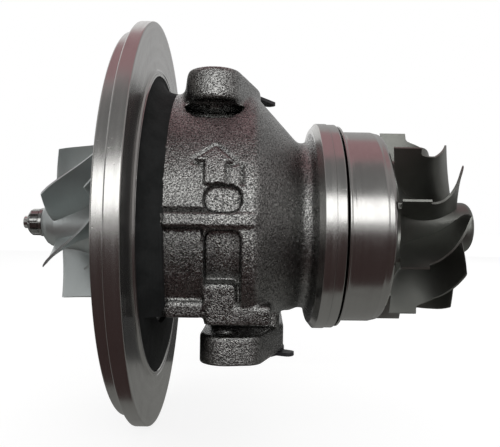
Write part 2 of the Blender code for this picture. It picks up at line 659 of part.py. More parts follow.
def drain_holes():
    """The drain port up to the sump, and the two bolt holes in the drain flange."""
    below = -DRAIN_BOTTOM - CUT_PAST
    above = -DRAIN_BOTTOM + DRAIN_THICKNESS + JOIN_DEPTH
    port_top = -0.5 * (SUMP_TOP + SUMP_BOTTOM)
    port = rod("drain", (DRAIN_X, 0, below), (DRAIN_X, 0, port_top), DRAIN_PORT_RADIUS, SMALL_TURN)
    holes = [rod("bolt", (DRAIN_X + side * DRAIN_BOLT_SKEW, side * DRAIN_BOLT_SPREAD, below),
                 (DRAIN_X + side * DRAIN_BOLT_SKEW, side * DRAIN_BOLT_SPREAD, above), BOLT_HOLE_RADIUS)
             for side in (-1, 1)]
    return [port, *holes]


def circlip_starts():
    """The left side of each circlip, from the turbine end to the compressor end."""
    outer_right = BORE_RIGHT - CIRCLIP_LAND - CIRCLIP_THICKNESS
    inner_right = outer_right - GAP - BEARING_LENGTH - GAP - CIRCLIP_THICKNESS
    outer_left = BORE_LEFT + CIRCLIP_LAND
    inner_left = outer_left + CIRCLIP_THICKNESS + GAP + BEARING_LENGTH + GAP
    return [outer_right, inner_right, inner_left, outer_left]


def bearing_starts():
    """The left end of the turbine bearing and of the compressor bearing."""
    starts = circlip_starts()
    return [starts[1] + CIRCLIP_THICKNESS + GAP, starts[3] + CIRCLIP_THICKNESS + GAP]


def bearing_bore():
    """A turned cutter for the turbine end's seal bore, the scavenge chamber and the bearings' bore."""
    starts = circlip_starts()
    right = NOSE_LENGTH + CUT_PAST
    corners = [
        (right, 0.0), (right, SEAL_BORE_RADIUS),
        (SCAVENGE_RIGHT, SEAL_BORE_RADIUS), (SCAVENGE_RIGHT, SCAVENGE_RADIUS),
        (BORE_RIGHT, SCAVENGE_RADIUS), (BORE_RIGHT, BORE_RADIUS)]
    for start in starts:
        corners += circlip_groove(start)
    inside = BORE_LEFT - JOIN_DEPTH
    corners += [(inside, BORE_RADIUS), (inside, 0.0)]
    return turned("bearing_bore", corners, None, SMALL_TURN)


def thrust_bore():
    """A turned cutter for the collar's cavity and the seats of the thrust bearing and seal plate."""
    counterbore = THRUST_RADIUS + GAP
    plate_bore = SEAL_PLATE_RADIUS + GAP
    groove = plate_bore + SNAP_RING_DEPTH + 2 * GAP
    plate_shoulder = SEAL_PLATE_STEP + GAP
    snap_right = SEAL_PLATE_LEFT - 0.5 * GAP
    snap_left = SEAL_PLATE_LEFT - GAP - SNAP_RING_THICKNESS - 0.5 * GAP
    left = SPIGOT_END - CUT_PAST
    cavity = COLLAR_RADIUS + THRUST_CAVITY_MARGIN
    return turned("thrust_bore", [
        (BORE_LEFT, 0.0), (BORE_LEFT, cavity), (THRUST_SEAT, cavity), (THRUST_SEAT, counterbore),
        (plate_shoulder, counterbore), (plate_shoulder, plate_bore), (snap_right, plate_bore),
        (snap_right, groove), (snap_left, groove), (snap_left, plate_bore), (left, plate_bore),
        (left, 0.0)], None, MEDIUM_TURN)


def circlip_groove(start):
    """Corners of one circlip's groove in the bore."""
    right = start + CIRCLIP_THICKNESS + 0.5 * GAP
    left = start - 0.5 * GAP
    deep = BORE_RADIUS + CIRCLIP_DEPTH + GAP
    return [(right, BORE_RADIUS), (right, deep), (left, deep), (left, BORE_RADIUS)]


def oil_ways():
    """The sump that drains both ends, the gallery above the bearings and its feeds."""
    sump = block("sump", (THRUST_SEAT + JOIN_DEPTH, -SUMP_HALF_WIDTH, -SUMP_BOTTOM),
                 (SCAVENGE_RIGHT - JOIN_DEPTH, SUMP_HALF_WIDTH, -SUMP_TOP), CAST_FILLET)
    turbine_bearing, compressor_bearing = bearing_starts()
    reach = turbine_bearing + 0.5 * BEARING_LENGTH
    gallery = rod("gallery", (THRUST_SEAT - JOIN_DEPTH, 0, GALLERY_HEIGHT),
                  (reach + GALLERY_RADIUS, 0, GALLERY_HEIGHT), GALLERY_RADIUS)
    feeds = []
    for start in (turbine_bearing, compressor_bearing):
        middle = start + 0.5 * BEARING_LENGTH
        feeds.append(rod("feed", (middle, 0, GALLERY_HEIGHT), (middle, 0, 0.5 * BORE_RADIUS), FEED_RADIUS))
    return [sump, gallery, *feeds]


def screw_threads():
    """Tapped holes for the backplate's screws, in the housing's face."""
    holes = []
    for angle in screw_angles():
        y, z = around(angle, SCREW_CIRCLE)
        end = DRUM_FACE + SCREW_ENGAGEMENT + SCREW_END_ROOM
        holes.append(rod("tapped", (DRUM_FACE - CUT_PAST, y, z), (end, y, z), SCREW_RADIUS + GAP))
    return holes


def bearing_housing(looks):
    """The iron casting that everything else is mounted on."""
    housing = housing_outside()
    housing.data.materials.append(looks["cast_iron"])
    combine(housing, [belly_cut()], "DIFFERENCE")
    combine(housing, drum_recesses(), "DIFFERENCE")
    combine(housing, [side_rib(), inlet_pad(), *drain_flange()], "UNION")
    combine(housing, [bearing_bore(), thrust_bore(), *oil_ways()], "DIFFERENCE")
    combine(housing, [*inlet_holes(), *drain_holes(), *screw_threads()], "DIFFERENCE")
    return housing


# Backplate and its screws

def compressor_backplate(looks):
    """The large machined disc that closes the compressor housing."""
    rim_back = PLATE_FRONT + PLATE_RIM_WIDTH
    bead = rim_back + PLATE_BEAD_HEIGHT
    dish = bead - PLATE_DISH_DEPTH
    recess_radius = COMPRESSOR_RADIUS + PLATE_RECESS_MARGIN
    plate = turned("compressor_backplate", [
        (PLATE_SEAT, PLATE_BORE), (PLATE_SEAT, PLATE_BOSS_RADIUS),
        (dish, PLATE_BOSS_RADIUS, PLATE_BOSS_FILLET), (dish, PLATE_DISH_RADIUS),
        (bead, PLATE_BEAD_RADIUS - PLATE_BEAD_WIDTH), (bead, PLATE_BEAD_RADIUS),
        (rim_back, PLATE_RIM_RADIUS, PLATE_CHAMFER),
        (PLATE_FRONT + PLATE_STEP, PLATE_RIM_RADIUS, PLATE_CHAMFER),
        (PLATE_FRONT + PLATE_STEP, PLATE_FRONT_RADIUS),
        (PLATE_FRONT, PLATE_FRONT_RADIUS, PLATE_CHAMFER),
        (PLATE_FRONT, recess_radius), (PLATE_RECESS, recess_radius),
        (PLATE_RECESS, PLATE_BORE)], looks["machined_iron"], LARGE_TURN, 1)
    cutters = []
    for angle in screw_angles():
        y, z = around(angle, SCREW_CIRCLE)
        cutters.append(rod("head", (PLATE_FRONT - CUT_PAST, y, z), (PLATE_RECESS + SCREW_HEAD_SINK, y, z),
                           SCREW_HEAD_RADIUS + SCREW_HEAD_CLEARANCE))
        cutters.append(rod("hole", (PLATE_RECESS, y, z), (PLATE_SEAT + CUT_PAST, y, z), SCREW_RADIUS + GAP))
    return combine(plate, cutters, "DIFFERENCE")


def backplate_screws(looks):
    """Socket-head screws behind the compressor wheel."""
    under_head = PLATE_RECESS + SCREW_HEAD_SINK - GAP
    top = under_head - SCREW_HEAD_LENGTH
    end = DRUM_FACE + SCREW_ENGAGEMENT
    for number, angle in enumerate(screw_angles(), 1):
        y, z = around(angle, SCREW_CIRCLE)
        screw = turned(f"backplate_screw_{number}", [
            (top, 0.0), (top, SCREW_HEAD_RADIUS), (under_head, SCREW_HEAD_RADIUS),
            (under_head, SCREW_RADIUS), (end, SCREW_RADIUS), (end, 0.0)],
            looks["shaft_steel"], HOLE_TURN, 1)
        facing = Matrix.Translation((top, 0, 0)) @ Matrix.Rotation(pi / 2, 4, "Y")
        hexagon = polygon(SCREW_SOCKET_RADIUS, 6)
        socket = prism("socket", hexagon, -CUT_PAST, SCREW_SOCKET_DEPTH, None, facing)
        combine(screw, [socket], "DIFFERENCE")
        screw.location = (0.0, y, z)


def rubber_ring(name, x, seat_radius, turn, look):
    """A squeezed O-ring in the groove that its seat, of this radius, has round the axis."""
    inner_radius = seat_radius - 2 * SEAL_RING_SECTION * SEAL_RING_SQUASH + 0.5 * GAP
    across = SEAL_RING_SECTION
    section = polygon(across, 6)
    corners = [(x + a, inner_radius + SEAL_RING_SQUASH * (across + b)) for a, b in section]
    return turned(name, corners, look, turn)


# Oil seal plate, thrust bearing and baffle

def seal_plate_groove_x():
    """Where the seal plate's rubber ring lies."""
    return 0.5 * (SEAL_PLATE_STEP + SEAL_PLATE_LEFT)


def oil_seal_plate(looks):
    """The plate that closes the housing's compressor end round the slinger."""
    groove = SEAL_RING_SECTION + GAP
    ring_x = seal_plate_groove_x()
    deep = SEAL_PLATE_RADIUS - 2 * SEAL_RING_SECTION * SEAL_RING_SQUASH
    rim_inside = SEAL_PLATE_RIM_INSIDE
    web = SEAL_PLATE_STEP - SEAL_PLATE_STEP_BACK
    return turned("oil_seal_plate", [
        (SEAL_PLATE_RIGHT, rim_inside), (SEAL_PLATE_RIGHT, THRUST_RADIUS),
        (SEAL_PLATE_STEP, THRUST_RADIUS), (SEAL_PLATE_STEP, SEAL_PLATE_RADIUS),
        (ring_x + groove, SEAL_PLATE_RADIUS), (ring_x + groove, deep),
        (ring_x - groove, deep), (ring_x - groove, SEAL_PLATE_RADIUS),
        (SEAL_PLATE_LEFT, SEAL_PLATE_RADIUS), (SEAL_PLATE_LEFT, SEAL_PLATE_BORE),
        (web, SEAL_PLATE_BORE), (web, rim_inside)], looks["machined_iron"], MEDIUM_TURN, 1)


def snap_ring(looks):
    """The ring that holds the seal plate in the housing."""
    right = SEAL_PLATE_LEFT - GAP
    left = right - SNAP_RING_THICKNESS
    outside = SEAL_PLATE_RADIUS + SNAP_RING_DEPTH
    inside = outside - SNAP_RING_WIDTH
    corners = [(left, inside), (right, inside), (right, outside), (left, outside)]
    return split_ring("seal_plate_snap_ring", corners, SNAP_RING_GAP, looks["shaft_steel"])


def thrust_bearing(looks):
    """The bronze disc that takes the rotor's end load, with oil grooves between its pads."""
    hole = COLLAR_SLEEVE_RADIUS + GAP
    disc = turned("thrust_bearing", [
        (THRUST_LEFT, hole), (THRUST_RIGHT, hole), (THRUST_RIGHT, THRUST_RADIUS),
        (THRUST_LEFT, THRUST_RADIUS)], looks["bronze"], MEDIUM_TURN)
    half = 0.5 * THRUST_GROOVE_WIDTH
    grooves = []
    for index in range(THRUST_PADS):
        frame = Matrix.Rotation(tau * index / THRUST_PADS, 4, "X") @ Matrix.Translation((0, 0, 0.5 * hole))
        outside = THRUST_LEFT - CUT_PAST
        floor = THRUST_LEFT + THRUST_GROOVE_DEPTH
        outline = [(outside, -half), (floor, -half), (floor, half), (outside, half)]
        grooves.append(prism("groove", outline, 0.0, COLLAR_RADIUS, None, frame))
    return combine(disc, grooves, "DIFFERENCE")


def oil_baffle(looks):
    """The dished sheet between the thrust bearing and the seal plate."""
    web_right = BAFFLE_RIGHT - BAFFLE_DISH
    web_left = web_right - BAFFLE_THICKNESS
    wall = BAFFLE_DISH_RADIUS - BAFFLE_THICKNESS
    return turned("oil_baffle", [
        (BAFFLE_RIGHT, wall), (BAFFLE_RIGHT, THRUST_RADIUS), (BAFFLE_LEFT, THRUST_RADIUS),
        (BAFFLE_LEFT, BAFFLE_DISH_RADIUS), (web_left, BAFFLE_DISH_RADIUS),
        (web_left, BAFFLE_HOLE_RADIUS), (web_right, BAFFLE_HOLE_RADIUS), (web_right, wall)],
        looks["pressed_steel"], MEDIUM_TURN, 1)


# Journal bearings

def journal_bearings(looks):
    """Two floating bushes with cross holes for the oil."""
    for name, start in zip(("journal_bearing_turbine", "journal_bearing_compressor"), bearing_starts()):
        end = start + BEARING_LENGTH
        bush = turned(name, [
            (start, BEARING_INNER), (start, BEARING_OUTER, EDGE), (end, BEARING_OUTER, EDGE),
            (end, BEARING_INNER)], looks["bronze"], SMALL_TURN, 1)
        middle = 0.5 * (start + end)
        holes = []
        for index in range(BEARING_HOLES):
            y, z = around(tau * (index + 0.5) / BEARING_HOLES, 0.5 * BEARING_INNER)
            far_y, far_z = around(tau * (index + 0.5) / BEARING_HOLES, 1.5 * BEARING_OUTER)
            holes.append(rod("hole", (middle, y, z), (middle, far_y, far_z), BEARING_HOLE_RADIUS, 6))
        combine(bush, holes, "DIFFERENCE")


def circlips(looks):
    """Rings that hold each bush between them."""
    outside = BORE_RADIUS + CIRCLIP_DEPTH
    inside = BORE_RADIUS - CIRCLIP_REACH
    for number, start in enumerate(circlip_starts(), 1):
        end = start + CIRCLIP_THICKNESS
        split_ring(f"bearing_circlip_{number}",
                   [(start, inside), (end, inside), (end, outside), (start, outside)],
                   CIRCLIP_GAP, looks["shaft_steel"], TINY_TURN)


def piston_ring(name, left, bore, look):
    """A split sealing ring sprung against a bore."""
    right = left + PISTON_RING_WIDTH
    outside = bore - GAP
    inside = outside - PISTON_RING_THICKNESS
    return split_ring(name, [(left, inside), (right, inside), (right, outside), (left, outside)],
                      PISTON_RING_GAP, look, SMALL_TURN)


def ring_groove(left, outer_radius, bore):
    """Corners of a piston ring's groove, right side first."""
    deep = bore - GAP - PISTON_RING_THICKNESS - GAP
    right = left + PISTON_RING_WIDTH + GAP
    return [(right, outer_radius), (right, deep), (left - GAP, deep), (left - GAP, outer_radius)]


def turbine_ring_x():
    """The left side of the turbine end's piston ring."""
    return NOSE_LENGTH - PISTON_RING_FROM_END - PISTON_RING_WIDTH


def compressor_ring_x():
    """The left side of the compressor end's piston ring."""
    return SEAL_PLATE_LEFT + PISTON_RING_FROM_END


# Heat shield

def heat_shield(looks):
    """The pressed can over the housing's nose, with a lip that the turbine housing clamps."""
    lip_left = GAP
    lip_right = lip_left + SHIELD_LIP_WIDTH
    inside = SHIELD_RADIUS - SHIELD_THICKNESS
    front_inside = SHIELD_FRONT - SHIELD_THICKNESS
    return turned("heat_shield", [
        (lip_left, inside), (lip_left, SHIELD_LIP_RADIUS), (lip_right, SHIELD_LIP_RADIUS),
        (lip_right, SHIELD_RADIUS),
        (SHIELD_FRONT, SHIELD_RADIUS, SHIELD_CORNER), (SHIELD_FRONT, SHIELD_HOLE_RADIUS),
        (front_inside, SHIELD_HOLE_RADIUS), (front_inside, inside, SHIELD_CORNER - SHIELD_THICKNESS)],
        looks["pressed_steel"], LARGE_TURN, 2)


# Rotor

def rotor_shaft(looks):
    """The steel shaft with its journals, shoulders, ring groove and thread."""
    slinger_left = SCAVENGE_RIGHT - GAP - SHAFT_SLINGER_LENGTH
    wheel_seat = SLINGER_LEFT + SHAFT_STEP_REACH
    relief = SHAFT_RELIEF
    starts = circlip_starts()
    return turned("rotor_shaft", [
        (WELD_X, 0.0), (WELD_X, SHAFT_HUB_RADIUS),
        *ring_groove(turbine_ring_x(), SHAFT_HUB_RADIUS, SEAL_BORE_RADIUS),
        (SCAVENGE_RIGHT - GAP, SHAFT_HUB_RADIUS), (SCAVENGE_RIGHT - GAP, SHAFT_SLINGER_RADIUS),
        (slinger_left, SHAFT_SLINGER_RADIUS), (slinger_left, JOURNAL_RADIUS),
        (starts[1], JOURNAL_RADIUS), (starts[1] - relief, JOURNAL_RADIUS - relief),
        (starts[2] + CIRCLIP_THICKNESS + relief, JOURNAL_RADIUS - relief),
        (starts[2] + CIRCLIP_THICKNESS, JOURNAL_RADIUS),
        (SHAFT_SHOULDER, JOURNAL_RADIUS), (SHAFT_SHOULDER, SHAFT_STEP_RADIUS),
        (wheel_seat, SHAFT_STEP_RADIUS), (wheel_seat, SHAFT_WHEEL_RADIUS),
        (COMPRESSOR_NOSE, SHAFT_WHEEL_RADIUS), (COMPRESSOR_NOSE, THREAD_RADIUS),
        (NUT_LEFT, THREAD_RADIUS), (NUT_LEFT, THREAD_END_RADIUS),
        (SHAFT_LEFT, THREAD_END_RADIUS, EDGE), (SHAFT_LEFT, 0.0)],
        looks["shaft_steel"], SMALL_TURN, 1)


def thrust_collar(looks):
    """The spool that runs on the thrust bearing's turbine side."""
    bore = SHAFT_STEP_RADIUS + GAP
    return turned("thrust_collar", [
        (COLLAR_RIGHT, bore), (COLLAR_RIGHT, COLLAR_RADIUS), (COLLAR_LEFT, COLLAR_RADIUS),
        (COLLAR_LEFT, COLLAR_SLEEVE_RADIUS), (COLLAR_SLEEVE_END, COLLAR_SLEEVE_RADIUS),
        (COLLAR_SLEEVE_END, bore)], looks["shaft_steel"], SMALL_TURN)


def oil_slinger(looks):
    """The flinger sleeve between the thrust bearing and the compressor wheel."""
    bore = SHAFT_STEP_RADIUS + GAP
    end_bore = max(bore, SHAFT_WHEEL_RADIUS + GAP)
    return turned("oil_slinger", [
        (SLINGER_RIGHT, bore), (SLINGER_RIGHT, COLLAR_RADIUS),
        (SLINGER_DISC_LEFT, COLLAR_RADIUS), (SLINGER_DISC_LEFT, SLINGER_SLEEVE_RADIUS),
        *ring_groove(compressor_ring_x(), SLINGER_SLEEVE_RADIUS, SEAL_PLATE_BORE),
        (SLINGER_LEFT, SLINGER_SLEEVE_RADIUS), (SLINGER_LEFT, end_bore)],
        looks["shaft_steel"], SMALL_TURN)


def locknut(looks):
    """The multi-point nut with a washer face that clamps the compressor wheel."""
    notch = NUT_RADIUS - NUT_POINT_DEPTH
    outline = []
    for index in range(2 * NUT_POINTS):
        radius = NUT_RADIUS if index % 2 == 0 else notch
        for offset in (-0.25, 0.25):
            angle = pi * (index + offset) / NUT_POINTS
            outline.append((radius * cos(angle), radius * sin(angle)))
    facing = Matrix.Rotation(pi / 2, 4, "Y")
    washer_left = NUT_RIGHT - NUT_FLANGE_THICKNESS
    nut_end = 0.5 * (washer_left + NUT_RIGHT)
    nut = prism("compressor_locknut", outline, NUT_LEFT, nut_end, looks["shaft_steel"], facing)
    outside = 2 * NUT_RADIUS
    slope = turned("slope", [
        (NUT_LEFT - NUT_CHAMFER, NUT_RADIUS - 2 * NUT_CHAMFER), (NUT_LEFT - NUT_CHAMFER, outside),
        (NUT_LEFT + NUT_CHAMFER, outside), (NUT_LEFT + NUT_CHAMFER, NUT_RADIUS)], None, SMALL_TURN)
    combine(nut, [slope], "DIFFERENCE")
    washer = turned("washer", [
        (washer_left, 0.0), (washer_left, NUT_FLANGE_RADIUS),
        (NUT_RIGHT, NUT_FLANGE_RADIUS), (NUT_RIGHT, 0.0)], None, SMALL_TURN, 1)
    combine(nut, [washer], "UNION")
    thread = THREAD_RADIUS + GAP
    hole = rod("hole", (NUT_LEFT - CUT_PAST, 0, 0), (NUT_RIGHT + CUT_PAST, 0, 0), thread, TINY_TURN)
    return combine(nut, [hole], "DIFFERENCE")


# Bladed wheels

def blend(first, second, share):
    """The value or point that lies this share of the way from the first to the second."""
    return first + (second - first) * share


def on_wheel(x, radius, angle):
    """A point of a wheel from its meridional place and its angle from -Y towards +Z."""
    return Vector((x, -radius * cos(angle), radius * sin(angle)))


def blade_shell(bm, root, tip, root_angle, tip_angle, root_thickness, tip_thickness, shares, span_steps):
    """One blade as a closed shell in the bmesh.

    root and tip give (x, radius) and the angles give the wrap at a share of the blade's length.
    The surface is straight from root to tip, and its thickness tapers towards the tip and both edges.
    """
    def middle(share, height):
        root_x, root_radius = root(share)
        tip_x, tip_radius = tip(share)
        sunk = BLADE_SINK / max(((tip_x - root_x) ** 2 + (tip_radius - root_radius) ** 2) ** 0.5, MERGE)
        height = blend(-sunk * blend(1.0, BLADE_END_SINK, share), 1.0, height)
        return on_wheel(blend(root_x, tip_x, height), blend(root_radius, tip_radius, height),
                        blend(root_angle(share), tip_angle(share), max(height, 0.0)))

    step = 1e-4
    sides = {}
    for i, share in enumerate(shares):
        edge = BLADE_EDGE_SHARE if i in (0, len(shares) - 1) else 1.0
        for j in range(span_steps + 1):
            height = j / span_steps
            point = middle(share, height)
            back, ahead = max(share - step, 0.0), min(share + step, 1.0)
            along = middle(ahead, height) - middle(back, height)
            up = middle(share, 1.0) - middle(share, 0.0)
            offset = along.cross(up).normalized() * 0.5 * edge * blend(root_thickness, tip_thickness, height)
            turning = Vector((1, 0, 0)).cross(point)
            if offset.dot(turning) < 0.0:
                offset.negate()
            sides[i, j, 1] = bm.verts.new(point + offset)
            sides[i, j, -1] = bm.verts.new(point - offset)
    last = len(shares) - 1
    for i in range(last):
        for j in range(span_steps):
            for side in (1, -1):
                bm.faces.new([sides[i, j, side], sides[i + 1, j, side],
                              sides[i + 1, j + 1, side], sides[i, j + 1, side]])
        for j in (0, span_steps):
            bm.faces.new([sides[i, j, 1], sides[i + 1, j, 1], sides[i + 1, j, -1], sides[i, j, -1]])
    for j in range(span_steps):
        for i in (0, last):
            bm.faces.new([sides[i, j, 1], sides[i, j + 1, 1], sides[i, j + 1, -1], sides[i, j, -1]])


def quarter(start, end, share):
    """A point on the quarter ellipse that leaves start along the axis and reaches end radially."""
    angle = share * pi / 2
    return (blend(start[0], end[0], sin(angle)), blend(end[1], start[1], cos(angle)))


def compressor_root(share):
    """The hub line under the compressor's blades."""
    return quarter((COMPRESSOR_INLET - COMPRESSOR_HUB_LEAD, COMPRESSOR_INLET_HUB_RADIUS),
                   (COMPRESSOR_RIM, COMPRESSOR_RADIUS), share)


def compressor_tip(share):
    """The line of the compressor blades' free edges."""
    return quarter((COMPRESSOR_INLET, COMPRESSOR_INLET_RADIUS),
                   (COMPRESSOR_RIM - COMPRESSOR_EXIT_WIDTH, COMPRESSOR_RADIUS), share)


def compressor_tip_wrap(share):
    """The turn of a compressor blade's free edge from its front."""
    return COMPRESSOR_WRAP * share ** 0.75


def compressor_root_wrap(share):
    """The turn of a compressor blade's root, which starts behind the free edge."""
    return -COMPRESSOR_ROOT_LAG + (COMPRESSOR_WRAP + COMPRESSOR_ROOT_LAG) * share ** 0.75


def compressor_hub(look):
    """The compressor wheel's hub and rim, without blades."""
    bore = SHAFT_WHEEL_RADIUS + GAP
    lead = COMPRESSOR_INLET - COMPRESSOR_HUB_LEAD
    curve = [compressor_root(k / HUB_STEPS) for k in range(HUB_STEPS + 1)]
    swell = (blend(COMPRESSOR_NOSE, lead, 0.5),
             blend(COMPRESSOR_NOSE_RADIUS, COMPRESSOR_INLET_HUB_RADIUS, COMPRESSOR_NOSE_SWELL))
    nose = [(COMPRESSOR_NOSE, bore), (COMPRESSOR_NOSE, COMPRESSOR_NOSE_RADIUS, EDGE), swell]
    back = [(COMPRESSOR_BACK, COMPRESSOR_RADIUS), (COMPRESSOR_BACK, COMPRESSOR_BOSS_RADIUS),
            (COMPRESSOR_BOSS, COMPRESSOR_BOSS_RADIUS - BEND), (COMPRESSOR_BOSS, bore)]
    return turned("compressor_wheel", nose + curve + back, look, 3 * COMPRESSOR_BLADES, 1)


def compressor_wheel(looks):
    """The aluminium wheel: full blades with a splitter halfway between each pair."""
    wheel = compressor_hub(looks["cast_aluminium"])
    bm = bmesh.new()
    pitch = tau / COMPRESSOR_BLADES
    for index in range(2 * COMPRESSOR_BLADES):
        start = COMPRESSOR_SPLITTER_START if index % 2 else 0.0
        steps = 3 if index % 2 else 6
        place = COMPRESSOR_TIP_ANGLE + 0.5 * pitch * index
        shares = [blend(start, 1.0, k / steps) for k in range(steps + 1)]
        blade_shell(bm, compressor_root, compressor_tip,
                    lambda share, turn=place: turn + compressor_root_wrap(share),
                    lambda share, turn=place: turn + compressor_tip_wrap(share),
                    COMPRESSOR_ROOT_THICKNESS, COMPRESSOR_TIP_THICKNESS, shares, SPAN_STEPS)
    return combine(wheel, [add_object("blades", bm, None)], "UNION")


def turbine_root(share):
    """The hub line under the turbine's blades, from the back of the tips to the exit."""
    start = (TURBINE_BACK + TURBINE_BACK_THICKNESS, TURBINE_BACK_RADIUS)
    end = (TURBINE_BACK + TURBINE_LENGTH + TURBINE_EXIT_LEAN, TURBINE_BOSS_RADIUS - TURBINE_BOSS_STEP)
    angle = share * pi / 2
    return (blend(start[0], end[0], 1.0 - cos(angle)), blend(start[1], end[1], sin(angle)))


def turbine_tip(share):
    """The line of the turbine blades' free edges: the tip, the notch behind it and the throat."""
    tip_end = TURBINE_BACK + TURBINE_TIP_WIDTH
    exit_x = TURBINE_BACK + TURBINE_LENGTH
    floor = TURBINE_RADIUS - TURBINE_NOTCH
    stations = [
        (0.00, TURBINE_BACK, TURBINE_RADIUS),
        (0.30, tip_end, TURBINE_RADIUS),
        (0.34, tip_end + TURBINE_NOTCH_RUN, blend(TURBINE_RADIUS, floor, TURBINE_NOTCH_SHARE)),
        (0.42, tip_end + TURBINE_NOTCH_END, 0.5 * (floor + TURBINE_THROAT_RADIUS)),
        (0.60, blend(tip_end, exit_x, TURBINE_THROAT_SHARE), TURBINE_THROAT_RADIUS),
        (1.00, exit_x, TURBINE_EXIT_RADIUS)]
    for (low, x0, r0), (high, x1, r1) in zip(stations, stations[1:]):
        if share <= high:
            part = (share - low) / (high - low)
            return blend(x0, x1, part), blend(r0, r1, part)
    return stations[-1][1:]


def turbine_wrap(x):
    """The turn of a turbine blade at a place along the axis; it is straight up to the notch."""
    straight = TURBINE_BACK + 0.9 * TURBINE_TIP_WIDTH
    run = max(x - straight, 0.0) / (TURBINE_BACK + TURBINE_LENGTH - straight)
    return TURBINE_WRAP * run ** 1.5


def turbine_hub(look):
    """The turbine wheel's hub: stub, back disc, flare and exit boss."""
    back = TURBINE_BACK
    end = back + TURBINE_LENGTH + TURBINE_EXIT_LEAN
    boss_end = back + TURBINE_BOSS_LENGTH
    curve = [turbine_root(k / HUB_STEPS) for k in range(HUB_STEPS)]
    return turned("turbine_wheel", [
        (WELD_X + GAP, 0.0), (WELD_X + GAP, TURBINE_STUB_RADIUS, EDGE),
        (back - BEND, TURBINE_STUB_RADIUS), (back, TURBINE_STUB_RADIUS + BEND),
        (back, TURBINE_BACK_RADIUS), *curve, (end, TURBINE_BOSS_RADIUS),
        (boss_end, TURBINE_BOSS_RADIUS, TURBINE_BOSS_FILLET), (boss_end, 0.0)], look, 3 * TURBINE_BLADES, 2)


def turbine_wheel(looks):
    """The nickel alloy wheel: radial tips, a notch behind them and an exit that curls."""
    wheel = turbine_hub(looks["nickel_alloy"])
    bm = bmesh.new()
    shares = [0.0, 0.30, 0.34, 0.42, 0.70, 1.0]
    for index in range(TURBINE_BLADES):
        place = TURBINE_TIP_ANGLE + tau * index / TURBINE_BLADES
        blade_shell(bm, turbine_root, turbine_tip,
                    lambda share, turn=place: turn + turbine_wrap(turbine_root(share)[0]),
                    lambda share, turn=place: turn + turbine_wrap(turbine_tip(share)[0]),
                    TURBINE_ROOT_THICKNESS, TURBINE_TIP_THICKNESS, shares, SPAN_STEPS)
    combine(wheel, [add_object("blades", bm, None)], "UNION")
    scallops = []
    for index in range(TURBINE_BLADES):
        y, z = around(TURBINE_TIP_ANGLE + tau * (index + 0.5) / TURBINE_BLADES, TURBINE_SCALLOP_CIRCLE)
        start = (TURBINE_BACK - CUT_PAST, y, z)
        end = (TURBINE_BACK + TURBINE_SCALLOP_LENGTH, y, z)
        scallops.append(rod("scallop", start, end, TURBINE_SCALLOP_RADIUS, TINY_TURN))
    return combine(wheel, scallops, "DIFFERENCE")


# Plugs

def port_plug(name, x, face, outward, port_radius, tab_length, tab_angle, looks):
    """A push-in plug for an oil port: stem, cap and pull tab. outward is 1 for up and -1 for down."""
    stem = port_radius - GAP
    cap = port_radius + PLUG_CAP_OVERLAP
    seat = GAP
    top = seat + PLUG_CAP_THICKNESS
    plug = turned(name, [
        (-PLUG_STEM_LENGTH, stem - PLUG_WALL), (-PLUG_STEM_LENGTH, stem, EDGE), (seat, stem),
        (seat, cap), (top, cap, EDGE), (top, 0.0), (seat, 0.0), (seat, stem - PLUG_WALL)],
        looks["plug_plastic"], SMALL_TURN, 1)
    plug.data.transform(Matrix.Rotation(-outward * pi / 2, 4, "Y"))
    plug.location = (x, 0.0, face)
    half = 0.5 * TAB_WIDTH
    outline = rounded([(0.5 * cap, -half), (tab_length, -0.7 * half, 0.6 * half),
                       (tab_length, 0.7 * half, 0.6 * half), (0.5 * cap, half)])
    frame = Matrix.Translation(plug.location) @ Matrix.Rotation(tab_angle, 4, "Z")
    tab_top = top - TAB_BELOW_CAP
    tab = prism("tab", outline, outward * (tab_top - TAB_THICKNESS), outward * tab_top, None, frame)
    return combine(plug, [tab], "UNION")


def main():
    """Build the cartridge in an emptied scene."""
    for old in list(bpy.data.objects):
        bpy.data.objects.remove(old)
    looks = make_materials()
    bearing_housing(looks)
    compressor_backplate(looks)
    backplate_screws(looks)
    rubber_ring("backplate_o_ring", spigot_ring_x(), SPIGOT_RADIUS, LARGE_TURN, looks["rubber"])
    oil_seal_plate(looks)
    rubber_ring("seal_plate_o_ring", seal_plate_groove_x(), SEAL_PLATE_RADIUS, MEDIUM_TURN, looks["rubber"])
    snap_ring(looks)
    thrust_bearing(looks)
    oil_baffle(looks)
    journal_bearings(looks)
    circlips(looks)
    piston_ring("turbine_piston_ring", turbine_ring_x(), SEAL_BORE_RADIUS, looks["shaft_steel"])
    piston_ring("compressor_piston_ring", compressor_ring_x(), SEAL_PLATE_BORE, looks["shaft_steel"])
    heat_shield(looks)
    rotor_shaft(looks)
    thrust_collar(looks)
    oil_slinger(looks)
    locknut(looks)
    compressor_wheel(looks)
    turbine_wheel(looks)
    port_plug("oil_inlet_plug", INLET_X, INLET_TOP, 1, INLET_PORT_RADIUS, INLET_TAB_LENGTH,
              INLET_TAB_ANGLE, looks)
    port_plug("oil_drain_plug", DRAIN_X, -DRAIN_BOTTOM, -1, DRAIN_PORT_RADIUS, DRAIN_TAB_LENGTH,
              DRAIN_TAB_ANGLE, looks)


main()
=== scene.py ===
"""Looks of the turbocharger cartridge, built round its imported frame.

Metres, +Z up, the rotor axis on X with the compressor at -X. Angles round the axis run from -Y towards +Z.
Fine pieces stand for the CAD nodes that show, and the hidden ones keep their own meshes.
"""

import json
from math import asin, atan2, cos, hypot, pi, radians, sin, sqrt, tan, tau

import bmesh
import bpy
from mathutils import Matrix, Vector, noise
from mathutils.geometry import convex_hull_2d

